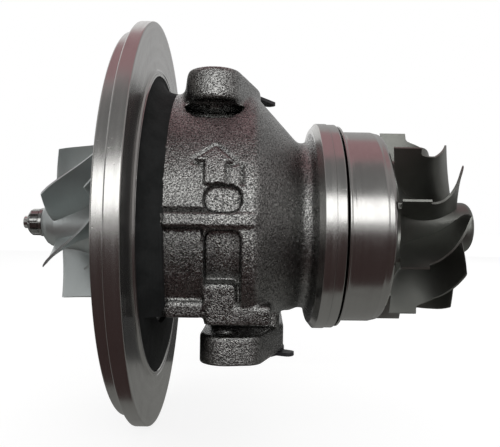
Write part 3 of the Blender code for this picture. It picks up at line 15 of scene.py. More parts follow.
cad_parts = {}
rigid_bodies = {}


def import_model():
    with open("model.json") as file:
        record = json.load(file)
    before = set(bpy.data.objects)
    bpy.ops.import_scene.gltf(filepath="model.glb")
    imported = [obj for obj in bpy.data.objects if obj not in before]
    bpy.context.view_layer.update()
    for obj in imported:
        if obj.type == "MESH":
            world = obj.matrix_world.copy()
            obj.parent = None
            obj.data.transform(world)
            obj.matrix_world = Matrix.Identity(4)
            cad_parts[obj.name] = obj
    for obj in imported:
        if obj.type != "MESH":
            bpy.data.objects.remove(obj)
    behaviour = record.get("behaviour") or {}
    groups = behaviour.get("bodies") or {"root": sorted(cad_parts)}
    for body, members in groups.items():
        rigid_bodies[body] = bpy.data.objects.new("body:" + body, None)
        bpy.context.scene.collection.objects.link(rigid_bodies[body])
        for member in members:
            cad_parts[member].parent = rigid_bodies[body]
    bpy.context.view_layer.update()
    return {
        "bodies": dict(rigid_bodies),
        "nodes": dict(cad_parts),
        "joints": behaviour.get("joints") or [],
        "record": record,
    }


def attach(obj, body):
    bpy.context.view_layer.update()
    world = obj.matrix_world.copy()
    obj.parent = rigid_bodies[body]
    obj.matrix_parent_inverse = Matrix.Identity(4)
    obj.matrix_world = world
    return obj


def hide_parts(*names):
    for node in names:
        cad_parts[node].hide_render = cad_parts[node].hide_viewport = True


GAP = 0.0003
EDGE = 0.0006
MERGE = 1e-6
CUT_PAST = 0.0100
SUPPORT = 0.00015
SUPPORT_FROM = 0.0012
FINE_TURN = 224
HUB_TURN = 168
SMALL_TURN = 72

# Bearing housing
FLANGE_BACK = -0.0085
FLANGE_STEP = -0.0039
FLANGE_RADIUS = 0.0466
FLANGE_STEP_HEIGHT = 0.0003
FLANK_X = -0.0106
FLANK_RADIUS = 0.0440
NECK_RIGHT = -0.0127
NECK_LEFT = -0.0161
NECK_RADIUS = 0.0377
CONE_LEFT = -0.0355
DRUM_FACE = -0.0700
DRUM_RADIUS = 0.0585
SPIGOT_END = -0.0850
SPIGOT_RADIUS = 0.0378
NOSE_X = 0.0160
NOSE_RADIUS = 0.0235
NOSE_ROOT_RADIUS = 0.0360
NOSE_BORE = 0.0118
BELLY_Z = -0.0365
BELLY_FRONT_Z = -0.0352
BELLY_FRONT_Y = -0.0200
COLLAR_X = -0.0785
COLLAR_FACE = -0.0775
COLLAR_SKIRT = -0.0765
COLLAR_END = -0.0690
COLLAR_RADIUS = 0.0656
COLLAR_INNER = 0.0450
CAST_VOXEL = 0.0009
FINE_VOXEL = 0.00066
BORE_CLEAR = 0.0195
THRUST_CLEAR = 0.0345
SEAL_BORE_CLEAR = 0.0118

# Features cast in the near side of the drum
PANEL_X = (-0.0710, -0.0545)
PANEL_DEPTH = 0.0026
PANEL_ANGLES = (radians(-38.0), radians(-1.5))
CHANNEL_X = (-0.0543, -0.0408)
CHANNEL_TOP = -0.0020
CHANNEL_CORNER = 0.0032
CHANNEL_DEPTH = 0.0092
CHANNEL_ANGLES = (radians(-40.0), radians(0.0))
GROOVES = [((-0.0700, 0.0050), (-0.0530, 0.0050)), ((-0.0406, 0.0150), (-0.0408, 0.0225))]
GROOVE_HALF = 0.0011
GROOVE_DEPTH = 0.0011
RIB_X = (-0.0700, -0.0682, -0.0390, -0.0290)
RIB_ANGLES = (radians(-0.9), radians(4.2))
RIB_HEIGHT = 0.0008
POCKET_X = (-0.0545, -0.0405)
POCKET_Z = (0.0040, 0.0143)
POCKET_CORNER = 0.0046
POCKET_DEPTH = 0.0040
ARROW = [(-0.0505, 0.0287), (-0.0437, 0.0229), (-0.0469, 0.0229), (-0.0469, 0.0146),
         (-0.0545, 0.0146), (-0.0545, 0.0233), (-0.0580, 0.0233)]
ARROW_HEIGHT = 0.0012
ARROW_SLOPE = 0.0008
ARROW_LINE = 0.0009

# Oil pads
INLET_TOP = 0.0620
INLET_LOW = 0.0492
INLET_X = -0.0515
INLET_CIRCLES = [(-0.0504, 0.0, 0.0176), (-0.0525, -0.0296, 0.0114), (-0.0500, 0.0296, 0.0112)]
INLET_ROUND = 0.0032
INLET_BOLTS = [(-0.0523, -0.0296), (-0.0507, 0.0296)]
BOLT_RADIUS = 0.00425
UNDERCUT_Z = (0.0418, 0.0478)
UNDERCUT_RADIUS = 0.0128
DRAIN_LOW = -0.0550
DRAIN_HIGH = -0.0435
DRAIN_X = -0.0385
DRAIN_CIRCLES = [(-0.0465, -0.0315, 0.0105), (-0.0305, 0.0315, 0.0105),
                 (-0.0390, -0.0335, 0.0075), (-0.0275, -0.0080, 0.0060), (-0.0495, 0.0080, 0.0060)]
DRAIN_ROUND = 0.0012
DRAIN_BOLTS = [(-0.0465, -0.0315), (-0.0305, 0.0315)]
THROAT_BLOCK = ((-0.0533, -0.0200, -0.0455), (-0.0238, 0.0370, -0.0300))
LOWER_FRONT = -0.0502
NECK_BLOCK = ((-0.0545, LOWER_FRONT, -0.0378), (-0.0288, 0.0, -0.0303))
COLUMN_BLOCK = ((-0.0541, LOWER_FRONT, -0.0378), (-0.0420, 0.0, -0.0216))
LEDGE_BLOCK = ((-0.0700, LOWER_FRONT, -0.0352), (-0.0548, -0.0200, -0.0287))
BLOCK_FILLET = 0.0022
BLOCK_TOP_ROUND = 0.0018
BLOCK_LEAN = 0.14
LEAN_FROM = -0.0290
FACE_SKIN = 0.0010

# Compressor backplate
PLATE_SEAT = -0.0703
PLATE_FRONT = -0.0880
PLATE_STEP = -0.0830
PLATE_BACK = -0.0775
PLATE_BEAD = -0.0770
PLATE_FRONT_RADIUS = 0.0839
PLATE_RADIUS = 0.0881
PLATE_BEAD_OUTER = 0.0683
PLATE_BEAD_INNER = 0.0661
PLATE_RECESS = -0.0865
PLATE_RECESS_RADIUS = 0.0507
PLATE_BORE = 0.0383
PLATE_CHAMFER = 0.0006

# Heat shield
SHIELD_LIP_LEFT = 0.0010
SHIELD_LIP_RIGHT = 0.0020
SHIELD_LIP_RADIUS = 0.0456
SHIELD_RADIUS = 0.0431
SHIELD_FRONT = 0.0205
SHIELD_CORNER = 0.0034
SHIELD_WALL = 0.0012
SHIELD_HOLE = 0.0160

# Rotor
COMPRESSOR_RADIUS = 0.0495
COMPRESSOR_BACK = -0.0871
COMPRESSOR_RIM = -0.0884
COMPRESSOR_INLET = -0.1219
COMPRESSOR_LEAD = -0.1239
COMPRESSOR_NOSE = -0.1310
COMPRESSOR_NOSE_RADIUS = 0.0072
COMPRESSOR_HUB_RADIUS = 0.0118
COMPRESSOR_TIP_RADIUS = 0.0343
COMPRESSOR_EXIT = 0.0059
COMPRESSOR_BOSS = -0.0845
COMPRESSOR_BOSS_RADIUS = 0.0140
COMPRESSOR_BORE = 0.0043
COMPRESSOR_BLADES = 7
COMPRESSOR_WRAP = radians(52)
COMPRESSOR_LAG = radians(15)
COMPRESSOR_TIP_ANGLE = radians(18.8)
SPLITTER_START = 0.45
NUT_LEFT = -0.1380
NUT_RIGHT = -0.1313
NUT_RADIUS = 0.0062
NUT_FLUTES = 12
NUT_FLUTE_DEPTH = 0.0011
WASHER_RADIUS = 0.0065
WASHER_THICKNESS = 0.0018
SHAFT_LEFT = -0.1407
SHAFT_RIGHT = 0.0167
THREAD_RADIUS = 0.0036
THREAD_END_RADIUS = 0.0029
THREAD_PITCH = 0.0008
TURBINE_BACK = 0.0220
TURBINE_RADIUS = 0.0430
TURBINE_TIP_WIDTH = 0.0115
TURBINE_LENGTH = 0.0288
TURBINE_NOTCH = 0.0035
TURBINE_THROAT = 0.0372
TURBINE_EXIT_RADIUS = 0.0380
TURBINE_EXIT_LEAN = 0.0055
TURBINE_BACK_RADIUS = 0.0355
TURBINE_DISC = 0.0016
TURBINE_BOSS_RADIUS = 0.0117
TURBINE_BOSS_END = 0.0635
TURBINE_BOSS_FILLET = 0.0030
TURBINE_STUB_LEFT = 0.0171
TURBINE_STUB_RADIUS = 0.0112
TURBINE_BLADES = 10
TURBINE_WRAP = radians(29)
TURBINE_ROOT_WRAP = radians(42)
TURBINE_BEND = 2.7
TURBINE_TIP_ANGLE = radians(14)
SCALLOP_CIRCLE = 0.0385
SCALLOP_RADIUS = 0.0108

# Plugs
INLET_PORT = 0.0065
DRAIN_PORT = 0.0125
PLUG_OVERLAP = 0.0055
PLUG_THICKNESS = 0.0026
TAB_HALF = 0.00425
TAB_THICKNESS = 0.0016
TAB_DROOP = radians(2.6)


# Shapes

def blend(first, second, share):
    """The value or point that lies this share of the way from the first to the second."""
    return first + (second - first) * share


def soft_step(low, high, value):
    """Zero below low, one above high and a smooth slope between."""
    share = min(max((value - low) / (high - low), 0.0), 1.0)
    return share * share * (3.0 - 2.0 * share)


def rounded(corners, arc_steps=5):
    """The closed outline through (a, b) or (a, b, fillet) corners, with arcs for the fillets."""
    points = []
    for index, corner in enumerate(corners):
        here = Vector(corner[:2])
        fillet = corner[2] if len(corner) > 2 else 0.0
        if fillet <= 0.0:
            points.append(tuple(here))
            continue
        before = Vector(corners[index - 1][:2]) - here
        after = Vector(corners[(index + 1) % len(corners)][:2]) - here
        half = before.angle(after) / 2
        reach = min(fillet / tan(half), 0.48 * before.length, 0.48 * after.length)
        centre = here + (before.normalized() + after.normalized()).normalized() * reach / cos(half)
        first = here + before.normalized() * reach - centre
        last = here + after.normalized() * reach - centre
        start = atan2(first.y, first.x)
        sweep = (atan2(last.y, last.x) - start + pi) % tau - pi
        for step in range(arc_steps + 1):
            angle = start + sweep * step / arc_steps
            points.append((centre.x + first.length * cos(angle), centre.y + first.length * sin(angle)))
    return points


def plate_outline(circles, steps=48):
    """The outline of a plate stretched round circles given as (x, y, radius)."""
    points = []
    for x, y, radius in circles:
        for step in range(steps):
            angle = tau * step / steps
            points.append((x + radius * cos(angle), y + radius * sin(angle)))
    return [points[index] for index in convex_hull_2d(points)]


def inset_outline(outline, distance):
    """The outline moved inwards by a distance."""
    count = len(outline)
    area = sum(outline[k - 1][0] * outline[k][1] - outline[k][0] * outline[k - 1][1] for k in range(count))
    side = 1.0 if area > 0 else -1.0
    moved = []
    for k, (x, y) in enumerate(outline):
        along = Vector(outline[(k + 1) % count]) - Vector(outline[k - 1])
        normal = Vector((-along.y, along.x)).normalized() * side
        moved.append((x + normal.x * distance, y + normal.y * distance))
    return moved


def shade(mesh, angle=35):
    """Smooth shading, with edges above this angle left sharp."""
    mesh.shade_smooth()
    mesh.set_sharp_from_angle(angle=radians(angle))


def add_object(name, bm, angle=35):
    """An object from a bmesh, with its faces turned out."""
    bmesh.ops.recalc_face_normals(bm, faces=bm.faces)
    mesh = bpy.data.meshes.new(name)
    bm.to_mesh(mesh)
    bm.free()
    made = bpy.data.objects.new(name, mesh)
    bpy.context.scene.collection.objects.link(made)
    shade(mesh, angle)
    return made


def supported(outline):
    """The outline with a point close to both ends of every long line, which keeps flat bands flat in shading."""
    points = []
    for start, end in zip(outline, outline[1:] + outline[:1]):
        points.append(start)
        length = hypot(end[0] - start[0], end[1] - start[1])
        if length > SUPPORT_FROM and max(start[1], end[1]) > MERGE:
            for share in (SUPPORT / length, 1.0 - SUPPORT / length):
                points.append((blend(start[0], end[0], share), blend(start[1], end[1], share)))
    return points


def turned(name, corners, turn=FINE_TURN, arc_steps=5, angle=35):
    """A solid of revolution about X from an outline of (x, radius) or (x, radius, fillet) corners."""
    bm = bmesh.new()
    verts = [bm.verts.new((x, 0.0, radius)) for x, radius in supported(rounded(corners, arc_steps))]
    for first, second in zip(verts, verts[1:] + verts[:1]):
        if max(first.co.z, second.co.z) > MERGE:
            bm.edges.new((first, second))
    bmesh.ops.spin(bm, geom=bm.verts[:] + bm.edges[:], cent=(0, 0, 0), axis=(1, 0, 0),
                   angle=tau, steps=turn, use_merge=True)
    bmesh.ops.remove_doubles(bm, verts=bm.verts, dist=MERGE)
    return add_object(name, bm, angle)


def stacked(name, outline, levels):
    """A plate whose outline is set in by a distance at each (z, inset) level from the bottom up."""
    bm = bmesh.new()
    rings = []
    for z, inset in levels:
        rings.append([bm.verts.new((x, y, z)) for x, y in inset_outline(outline, inset)])
    for lower, upper in zip(rings, rings[1:]):
        for k in range(len(lower)):
            bm.faces.new([lower[k - 1], lower[k], upper[k], upper[k - 1]])
    bm.faces.new(rings[0])
    bm.faces.new(rings[-1])
    return add_object(name, bm)


def round_levels(low, high, bottom_round, top_round, steps=5):
    """Levels of a plate with rounded bottom and top edges."""
    levels = []
    for k in range(steps + 1):
        angle = 0.5 * pi * k / steps
        levels.append((low + bottom_round * (1.0 - sin(angle)), bottom_round * (1.0 - cos(angle))))
    levels = sorted(levels)
    for k in range(steps + 1):
        angle = 0.5 * pi * k / steps
        levels.append((high - top_round * (1.0 - sin(angle)), top_round * (1.0 - cos(angle))))
    return levels


def prism(name, outline, start, end, frame=Matrix()):
    """An outline in the frame's XY plane, extruded from start to end along its Z."""
    bm = bmesh.new()
    lower = [bm.verts.new((x, y, start)) for x, y in outline]
    upper = [bm.verts.new((x, y, end)) for x, y in outline]
    for k in range(len(outline)):
        bm.faces.new([lower[k - 1], lower[k], upper[k], upper[k - 1]])
    bm.faces.new(lower)
    bm.faces.new(upper)
    bmesh.ops.transform(bm, matrix=frame, verts=bm.verts)
    return add_object(name, bm)


def block(name, low, high, fillet=0.0):
    """A box between two corners, with its upright edges rounded."""
    corners = [(low[0], low[1], fillet), (high[0], low[1], fillet),
               (high[0], high[1], fillet), (low[0], high[1], fillet)]
    return prism(name, rounded(corners), low[2], high[2])


def soft_block(name, low, high):
    """A box between two corners, with its upright edges and top rounded, that leans back towards its foot."""
    corners = [(low[0], low[1], BLOCK_FILLET), (high[0], low[1], BLOCK_FILLET),
               (high[0], high[1], BLOCK_FILLET), (low[0], high[1], BLOCK_FILLET)]
    made = stacked(name, rounded(corners), round_levels(low[2], high[2], GAP, BLOCK_TOP_ROUND))
    made.data.transform(Matrix((
        (1, 0, 0, 0), (0, 1, -BLOCK_LEAN, BLOCK_LEAN * LEAN_FROM), (0, 0, 1, 0), (0, 0, 0, 1))))
    return made


def rod(name, start, end, radius, turn=40):
    """A plain round rod between two points, for drilled holes."""
    start = Vector(start)
    along = Vector(end) - start
    frame = Matrix.Translation(start) @ along.to_track_quat("Z", "Y").to_matrix().to_4x4()
    outline = [(radius * cos(tau * k / turn), radius * sin(tau * k / turn)) for k in range(turn)]
    return prism(name, outline, 0.0, along.length, frame)


def sector(name, x_range, radius_range, angle_range, turn=40):
    """A piece of a thick tube about X, between two angles."""
    bm = bmesh.new()
    verts = [bm.verts.new((x, -radius, 0.0)) for x, radius in (
        (x_range[0], radius_range[0]), (x_range[1], radius_range[0]),
        (x_range[1], radius_range[1]), (x_range[0], radius_range[1]))]
    face = bm.faces.new(verts)
    bmesh.ops.rotate(bm, verts=verts, cent=(0, 0, 0), matrix=Matrix.Rotation(-angle_range[0], 3, "X"))
    bmesh.ops.spin(bm, geom=[*verts, *face.edges, face], cent=(0, 0, 0), axis=(-1, 0, 0),
                   angle=angle_range[1] - angle_range[0], steps=turn)
    return add_object(name, bm)


def keep_modifiers(solid):
    """Replace a solid's mesh by the one its modifiers make."""
    bpy.context.view_layer.update()
    shown = solid.evaluated_get(bpy.context.evaluated_depsgraph_get())
    mesh = bpy.data.meshes.new_from_object(shown)
    solid.modifiers.clear()
    solid.data = mesh


def combine(solid, tools, operation, solver="EXACT"):
    """Join tools to a solid (UNION) or take them out of it (DIFFERENCE); the tools are used up."""
    for tool in tools:
        boolean = solid.modifiers.new(operation, "BOOLEAN")
        boolean.operation = operation
        boolean.solver = solver
        boolean.object = tool
    keep_modifiers(solid)
    for tool in tools:
        bpy.data.objects.remove(tool)
    return solid


def remesh(solid, voxel, passes):
    """Rebuild a solid from even voxels and soften it, as a sand mould does."""
    grid = solid.modifiers.new("grid", "REMESH")
    grid.mode = "VOXEL"
    grid.voxel_size = voxel
    soften = solid.modifiers.new("soften", "SMOOTH")
    soften.factor = 0.5
    soften.iterations = passes
    keep_modifiers(solid)


def around(angle, radius):
    """The (y, z) place at this radius and angle."""
    return -radius * cos(angle), radius * sin(angle)


# Bearing housing

def belly_blocks(start):
    """The two blocks that cut the drum flat underneath, from a place along the axis on."""
    far = 2 * DRUM_RADIUS
    return [block("belly", (start, -far, -far), (NECK_RIGHT, far, BELLY_Z)),
            block("belly_front", (start, -far, -far), (NECK_RIGHT, BELLY_FRONT_Y, BELLY_FRONT_Z))]


def housing_collar(look):
    """The smooth collar beside the disc, whose hollow runs down to the drum; its near-black colour is painted shade.
    """
    steps = 10
    curve = []
    for k in range(steps + 1):
        angle = 0.5 * pi * k / steps
        curve.append((blend(COLLAR_END, COLLAR_FACE, cos(angle)), blend(COLLAR_RADIUS, DRUM_RADIUS, sin(angle))))
    collar = turned("housing_collar", [
        (COLLAR_X, COLLAR_INNER), (COLLAR_X, COLLAR_RADIUS), *curve, (COLLAR_END, COLLAR_INNER)], 192)
    combine(collar, belly_blocks(COLLAR_SKIRT), "DIFFERENCE")
    shade(collar.data, 40)
    dress(collar, "housing", ["bearing_housing"], [look])


def casting_forms():
    """The housing's main cast forms, before the mould's softening."""
    body = turned("housing_casting", [
        (SPIGOT_END, 0.0), (SPIGOT_END, SPIGOT_RADIUS), (COLLAR_X, SPIGOT_RADIUS),
        (COLLAR_X, DRUM_RADIUS), (CONE_LEFT, DRUM_RADIUS, 0.0040), (NECK_LEFT, NECK_RADIUS, 0.0030),
        (NECK_RIGHT + 0.0004, NECK_RADIUS, 0.0015), (FLANK_X + 0.0004, FLANK_RADIUS - 0.0003),
        (FLANK_X + 0.0010, FLANK_RADIUS - 0.0003), (FLANK_X + 0.0010, 0.0)], 160)
    combine(body, belly_blocks(COLLAR_X - MERGE), "DIFFERENCE")
    pad = stacked("pad", plate_outline(INLET_CIRCLES),
                  round_levels(INLET_LOW, INLET_TOP + FACE_SKIN, 0.0015, INLET_ROUND))
    throat = block("throat", *THROAT_BLOCK, 0.0045)
    combine(body, [pad, throat], "UNION")
    return body


def carve_casting(body):
    """Carve the near side of the softened casting, add its lower forms and drill it."""
    outside = DRUM_RADIUS + CUT_PAST
    facing = Matrix.Translation((0, -outside, 0)) @ Matrix(((1, 0, 0, 0), (0, 0, 1, 0), (0, 1, 0, 0), (0, 0, 0, 1)))
    panel = sector("panel", PANEL_X, (DRUM_RADIUS - PANEL_DEPTH, outside), PANEL_ANGLES)
    channel = sector("channel", (CHANNEL_X[0] - GAP, CHANNEL_X[1] + GAP), (DRUM_RADIUS - CHANNEL_DEPTH, outside),
                     CHANNEL_ANGLES)
    left, right = CHANNEL_X
    arch = rounded([(left, -DRUM_RADIUS), (right, -DRUM_RADIUS), (right, CHANNEL_TOP, CHANNEL_CORNER),
                    (left, CHANNEL_TOP, CHANNEL_CORNER)], 8)
    combine(channel, [prism("arch", arch, -CUT_PAST, outside, facing)], "INTERSECT")
    bolt_x, bolt_y = INLET_BOLTS[0]
    undercut = rod("undercut", (bolt_x, bolt_y, UNDERCUT_Z[0]), (bolt_x, bolt_y, UNDERCUT_Z[1]),
                   UNDERCUT_RADIUS)
    low_x, high_x = POCKET_X
    low_z, high_z = POCKET_Z
    outline = rounded([(low_x, low_z, POCKET_CORNER), (high_x, low_z, POCKET_CORNER),
                       (high_x, high_z, POCKET_CORNER), (low_x, high_z, POCKET_CORNER)], 10)
    middle_z = 0.5 * (low_z + high_z)
    floor = sqrt(DRUM_RADIUS ** 2 - middle_z ** 2) - POCKET_DEPTH
    pocket = prism("pocket", outline, 0.0, outside - floor, facing)
    combine(body, [panel, channel, pocket, undercut], "DIFFERENCE")
    flange = stacked("flange", plate_outline(DRAIN_CIRCLES),
                     round_levels(DRAIN_LOW - FACE_SKIN, DRAIN_HIGH, DRAIN_ROUND, DRAIN_ROUND))
    lower = [soft_block("lower", *span) for span in (NECK_BLOCK, COLUMN_BLOCK, LEDGE_BLOCK)]
    combine(body, [flange, *lower], "UNION")
    cutters = []
    for x, y in INLET_BOLTS:
        cutters.append(rod("bolt", (x, y, INLET_TOP + CUT_PAST), (x, y, INLET_LOW - 0.0040), BOLT_RADIUS))
    for x, y in DRAIN_BOLTS:
        cutters.append(rod("bolt", (x, y, DRAIN_LOW - CUT_PAST), (x, y, DRAIN_HIGH + 0.0010), BOLT_RADIUS))
    cutters.append(rod("inlet", (INLET_X, 0, INLET_TOP + CUT_PAST), (INLET_X, 0, 0.0300), INLET_PORT))
    cutters.append(rod("drain", (DRAIN_X, 0, DRAIN_LOW - CUT_PAST), (DRAIN_X, 0, -0.0250), DRAIN_PORT))
    cutters.append(turned("bore", [
        (CUT_PAST, 0.0), (CUT_PAST, BORE_CLEAR), (-0.0560, BORE_CLEAR), (-0.0590, THRUST_CLEAR),
        (SPIGOT_END - CUT_PAST, THRUST_CLEAR), (SPIGOT_END - CUT_PAST, 0.0)], 96))
    combine(body, cutters, "DIFFERENCE")


def line_distance(x, s, start, end):
    """Distance from a point to the line between two others."""
    span_x, span_s = end[0] - start[0], end[1] - start[1]
    share = ((x - start[0]) * span_x + (s - start[1]) * span_s) / (span_x ** 2 + span_s ** 2)
    share = min(max(share, 0.0), 1.0)
    return hypot(x - start[0] - share * span_x, s - start[1] - share * span_s)


def edge_distance(x, s, outline):
    """Signed distance from a point to an outline, positive inside."""
    nearest = 1.0
    inside = False
    for start, end in zip(outline, outline[1:] + outline[:1]):
        nearest = min(nearest, line_distance(x, s, start, end))
        if (start[1] > s) != (end[1] > s):
            crossing = start[0] + (s - start[1]) / (end[1] - start[1]) * (end[0] - start[0])
            inside = inside != (x < crossing)
    return nearest if inside else -nearest


def cast_relief(x, angle, outline):
    """How far the rib, arrow and groove lines raise or sink the drum's near side."""
    s = DRUM_RADIUS * angle
    rise = 0.0
    if 0.010 < s < 0.034:
        inside = edge_distance(x, s, outline)
        rise += ARROW_HEIGHT * soft_step(-0.5 * ARROW_SLOPE, 0.5 * ARROW_SLOPE, inside)
        rise -= 0.5 * ARROW_HEIGHT * soft_step(ARROW_LINE, 0.3 * ARROW_LINE, abs(inside + ARROW_LINE))
    rib = min(s - DRUM_RADIUS * RIB_ANGLES[0], DRUM_RADIUS * RIB_ANGLES[1] - s)
    along = soft_step(RIB_X[0], RIB_X[1], x) * soft_step(RIB_X[3], RIB_X[2], x)
    rise += RIB_HEIGHT * along * soft_step(-0.0006, 0.0008, rib)
    for start, end in GROOVES:
        rise -= GROOVE_DEPTH * soft_step(GROOVE_HALF, 0.25 * GROOVE_HALF, line_distance(x, s, start, end))
    return rise


def shape_surface(body):
    """Raise the cast relief, level the machined pads and give the skin its unevenness."""
    outline = [(x, DRUM_RADIUS * asin(z / DRUM_RADIUS)) for x, z in ARROW]
    for vertex in body.data.vertices:
        x, y, z = vertex.co
        radius = hypot(y, z)
        if radius < BORE_CLEAR + 0.0020:
            continue
        angle = atan2(z, -y)
        lift = 0.00007 * noise.noise(vertex.co * 260.0)
        if y < 0.0 and x > COLLAR_FACE and radius > DRUM_RADIUS - 0.0012 and abs(angle) < radians(40):
            lift += cast_relief(x, angle, outline)
        scale = 1.0 + lift / radius
        vertex.co = (x, y * scale, min(max(z * scale, DRAIN_LOW + 0.00005), INLET_TOP - 0.00005))


def housing_casting(look):
    """The sand-cast body of the bearing housing, with its pads, pocket, channel and arrow."""
    body = casting_forms()
    remesh(body, CAST_VOXEL, 9)
    carve_casting(body)
    remesh(body, FINE_VOXEL, 4)
    shape_surface(body)
    shade(body.data, 60)
    dress(body, "housing", ["bearing_housing"], [look])


def housing_flange(look):
    """The machined flange, with its flank and the nose inside the heat shield."""
    line = 0.00012
    flange = turned("housing_flange", [
        (NOSE_X, NOSE_BORE), (NOSE_X, NOSE_RADIUS, 0.0015), (0.0, NOSE_ROOT_RADIUS),
        (0.0, FLANGE_RADIUS - FLANGE_STEP_HEIGHT, 0.0005),
        (FLANGE_STEP, FLANGE_RADIUS - FLANGE_STEP_HEIGHT),
        (FLANGE_STEP, FLANGE_RADIUS - 2.5 * FLANGE_STEP_HEIGHT),
        (FLANGE_STEP - line, FLANGE_RADIUS - 2.5 * FLANGE_STEP_HEIGHT),
        (FLANGE_STEP - line, FLANGE_RADIUS, 0.0002),
        (FLANGE_BACK, FLANGE_RADIUS, 0.0005), (FLANK_X, FLANK_RADIUS, 0.0002),
        (FLANK_X, FLANK_RADIUS - 0.0060), (FLANK_X + 0.0020, FLANK_RADIUS - 0.0080),
        (FLANK_X + 0.0020, NOSE_BORE)])
    dress(flange, "housing", ["bearing_housing"], [look])


# Backplate and heat shield

def backplate(look):
    """The large machined disc, with its register, rim and bead."""
    plate = turned("backplate", [
        (PLATE_BEAD - 0.0012, PLATE_BORE), (PLATE_BEAD - 0.0012, PLATE_BEAD_INNER - 0.0004),
        (PLATE_BEAD, PLATE_BEAD_INNER, 0.0003), (PLATE_BEAD, PLATE_BEAD_INNER + 0.0008),
        (PLATE_BEAD - 0.0003, PLATE_BEAD_INNER + 0.0010), (PLATE_BEAD - 0.0003, PLATE_BEAD_OUTER - 0.0008),
        (PLATE_BEAD, PLATE_BEAD_OUTER - 0.0006), (PLATE_BEAD, PLATE_BEAD_OUTER, 0.0003),
        (PLATE_BEAD - 0.0008, PLATE_BEAD_OUTER + 0.0006, 0.0005),
        (PLATE_BACK, PLATE_RADIUS, PLATE_CHAMFER), (PLATE_STEP, PLATE_RADIUS, PLATE_CHAMFER),
        (PLATE_STEP, PLATE_FRONT_RADIUS, 0.0003), (PLATE_FRONT, PLATE_FRONT_RADIUS, PLATE_CHAMFER),
        (PLATE_FRONT, PLATE_RECESS_RADIUS, 0.0004), (PLATE_RECESS, PLATE_RECESS_RADIUS, 0.0004),
        (PLATE_RECESS, PLATE_BORE)], 288, 3)
    dress(plate, "housing", ["compressor_backplate"], [look])


def heat_shield(look):
    """The pressed can, with its rolled lip and soft bends."""
    inside = SHIELD_RADIUS - SHIELD_WALL
    front_inside = SHIELD_FRONT - SHIELD_WALL
    shield = turned("heat_shield_can", [
        (SHIELD_LIP_LEFT, inside), (SHIELD_LIP_LEFT, SHIELD_LIP_RADIUS, 0.0003),
        (SHIELD_LIP_RIGHT, SHIELD_LIP_RADIUS, 0.0005), (SHIELD_LIP_RIGHT, SHIELD_RADIUS, 0.0008),
        (SHIELD_LIP_RIGHT + 0.0016, SHIELD_RADIUS - 0.0002, 0.0008),
        (SHIELD_LIP_RIGHT + 0.0022, SHIELD_RADIUS, 0.0008),
        (SHIELD_FRONT - 0.0044, SHIELD_RADIUS, 0.0020), (SHIELD_FRONT - 0.0034, SHIELD_RADIUS - 0.0003, 0.0010),
        (SHIELD_FRONT, SHIELD_RADIUS - 0.0010, SHIELD_CORNER), (SHIELD_FRONT, SHIELD_HOLE, 0.0003),
        (front_inside, SHIELD_HOLE, 0.0003),
        (front_inside, inside - 0.0010, SHIELD_CORNER - SHIELD_WALL), (front_inside - 0.0050, inside)],
        FINE_TURN, 6)
    dress(shield, "housing", ["heat_shield"], [look])


# Bladed wheels

def on_wheel(x, radius, angle):
    """A point of a wheel from its meridional place and its angle."""
    return Vector((x, -radius * cos(angle), radius * sin(angle)))


def root_fillet(distance, radius):
    """Half of what a root fillet of this radius adds to a blade at a distance from the hub."""
    if distance >= radius:
        return 0.0
    return radius - sqrt(max(radius ** 2 - (radius - distance) ** 2, 0.0))


def edge_round(distance, radius):
    """The share of its thickness that a blade keeps at a distance from its rounded edge."""
    if distance >= radius:
        return 1.0
    return max(sqrt(1.0 - (1.0 - distance / radius) ** 2), 0.22)


def add_blade(bm, line, shares, heights, half_thickness):
    """One blade as a closed shell; line(share, height) gives its middle surface.

    Faces on its tip and its last edge get the second material.
    """
    step = 1e-4
    sides = {}
    for i, share in enumerate(shares):
        for j, height in enumerate(heights):
            point = line(share, height)
            along = line(min(share + step, 1.0), height) - line(max(share - step, 0.0), height)
            up = line(share, min(height + step, 1.0)) - line(share, height - step)
            offset = along.cross(up).normalized() * half_thickness(share, height)
            if offset.dot(Vector((1, 0, 0)).cross(point)) < 0.0:
                offset.negate()
            sides[i, j, 1] = bm.verts.new(point + offset)
            sides[i, j, -1] = bm.verts.new(point - offset)
    last, top = len(shares) - 1, len(heights) - 1
    for i in range(last):
        for j in range(top):
            for side in (1, -1):
                bm.faces.new([sides[i, j, side], sides[i + 1, j, side],
                              sides[i + 1, j + 1, side], sides[i, j + 1, side]])
        for j in (0, top):
            edge = bm.faces.new([sides[i, j, 1], sides[i + 1, j, 1], sides[i + 1, j, -1], sides[i, j, -1]])
            edge.material_index = 1 if j == top else 0
    for j in range(top):
        for i in (0, last):
            edge = bm.faces.new([sides[i, j, 1], sides[i, j + 1, 1], sides[i, j + 1, -1], sides[i, j, -1]])
            edge.material_index = 1 if i == last else 0


def blade_line(root, tip, root_angle, tip_angle, sink):
    """The middle surface of a blade that is straight from root to tip and starts in the hub."""
    def line(share, height):
        root_x, root_radius = root(share)
        tip_x, tip_radius = tip(share)
        length = max(hypot(tip_x - root_x, tip_radius - root_radius), MERGE)
        low = -sink / length
        place = blend(low, 1.0, height)
        angle = blend(root_angle(share), tip_angle(share), max(place, 0.0))
        return on_wheel(blend(root_x, tip_x, place), blend(root_radius, tip_radius, place), angle)
    return line


def quarter(start, end, share):
    """A point on the quarter ellipse that leaves start along the axis and reaches end radially."""
    angle = share * pi / 2
    return (blend(start[0], end[0], sin(angle)), blend(end[1], start[1], cos(angle)))


def compressor_root(share):
    """The hub line under the compressor's blades."""
    return quarter((COMPRESSOR_LEAD, COMPRESSOR_HUB_RADIUS), (COMPRESSOR_RIM, COMPRESSOR_RADIUS), share)


def compressor_tip(share):
    """The line of the compressor blades' free edges."""
    return quarter((COMPRESSOR_INLET, COMPRESSOR_TIP_RADIUS),
                   (COMPRESSOR_RIM - COMPRESSOR_EXIT, COMPRESSOR_RADIUS), share)


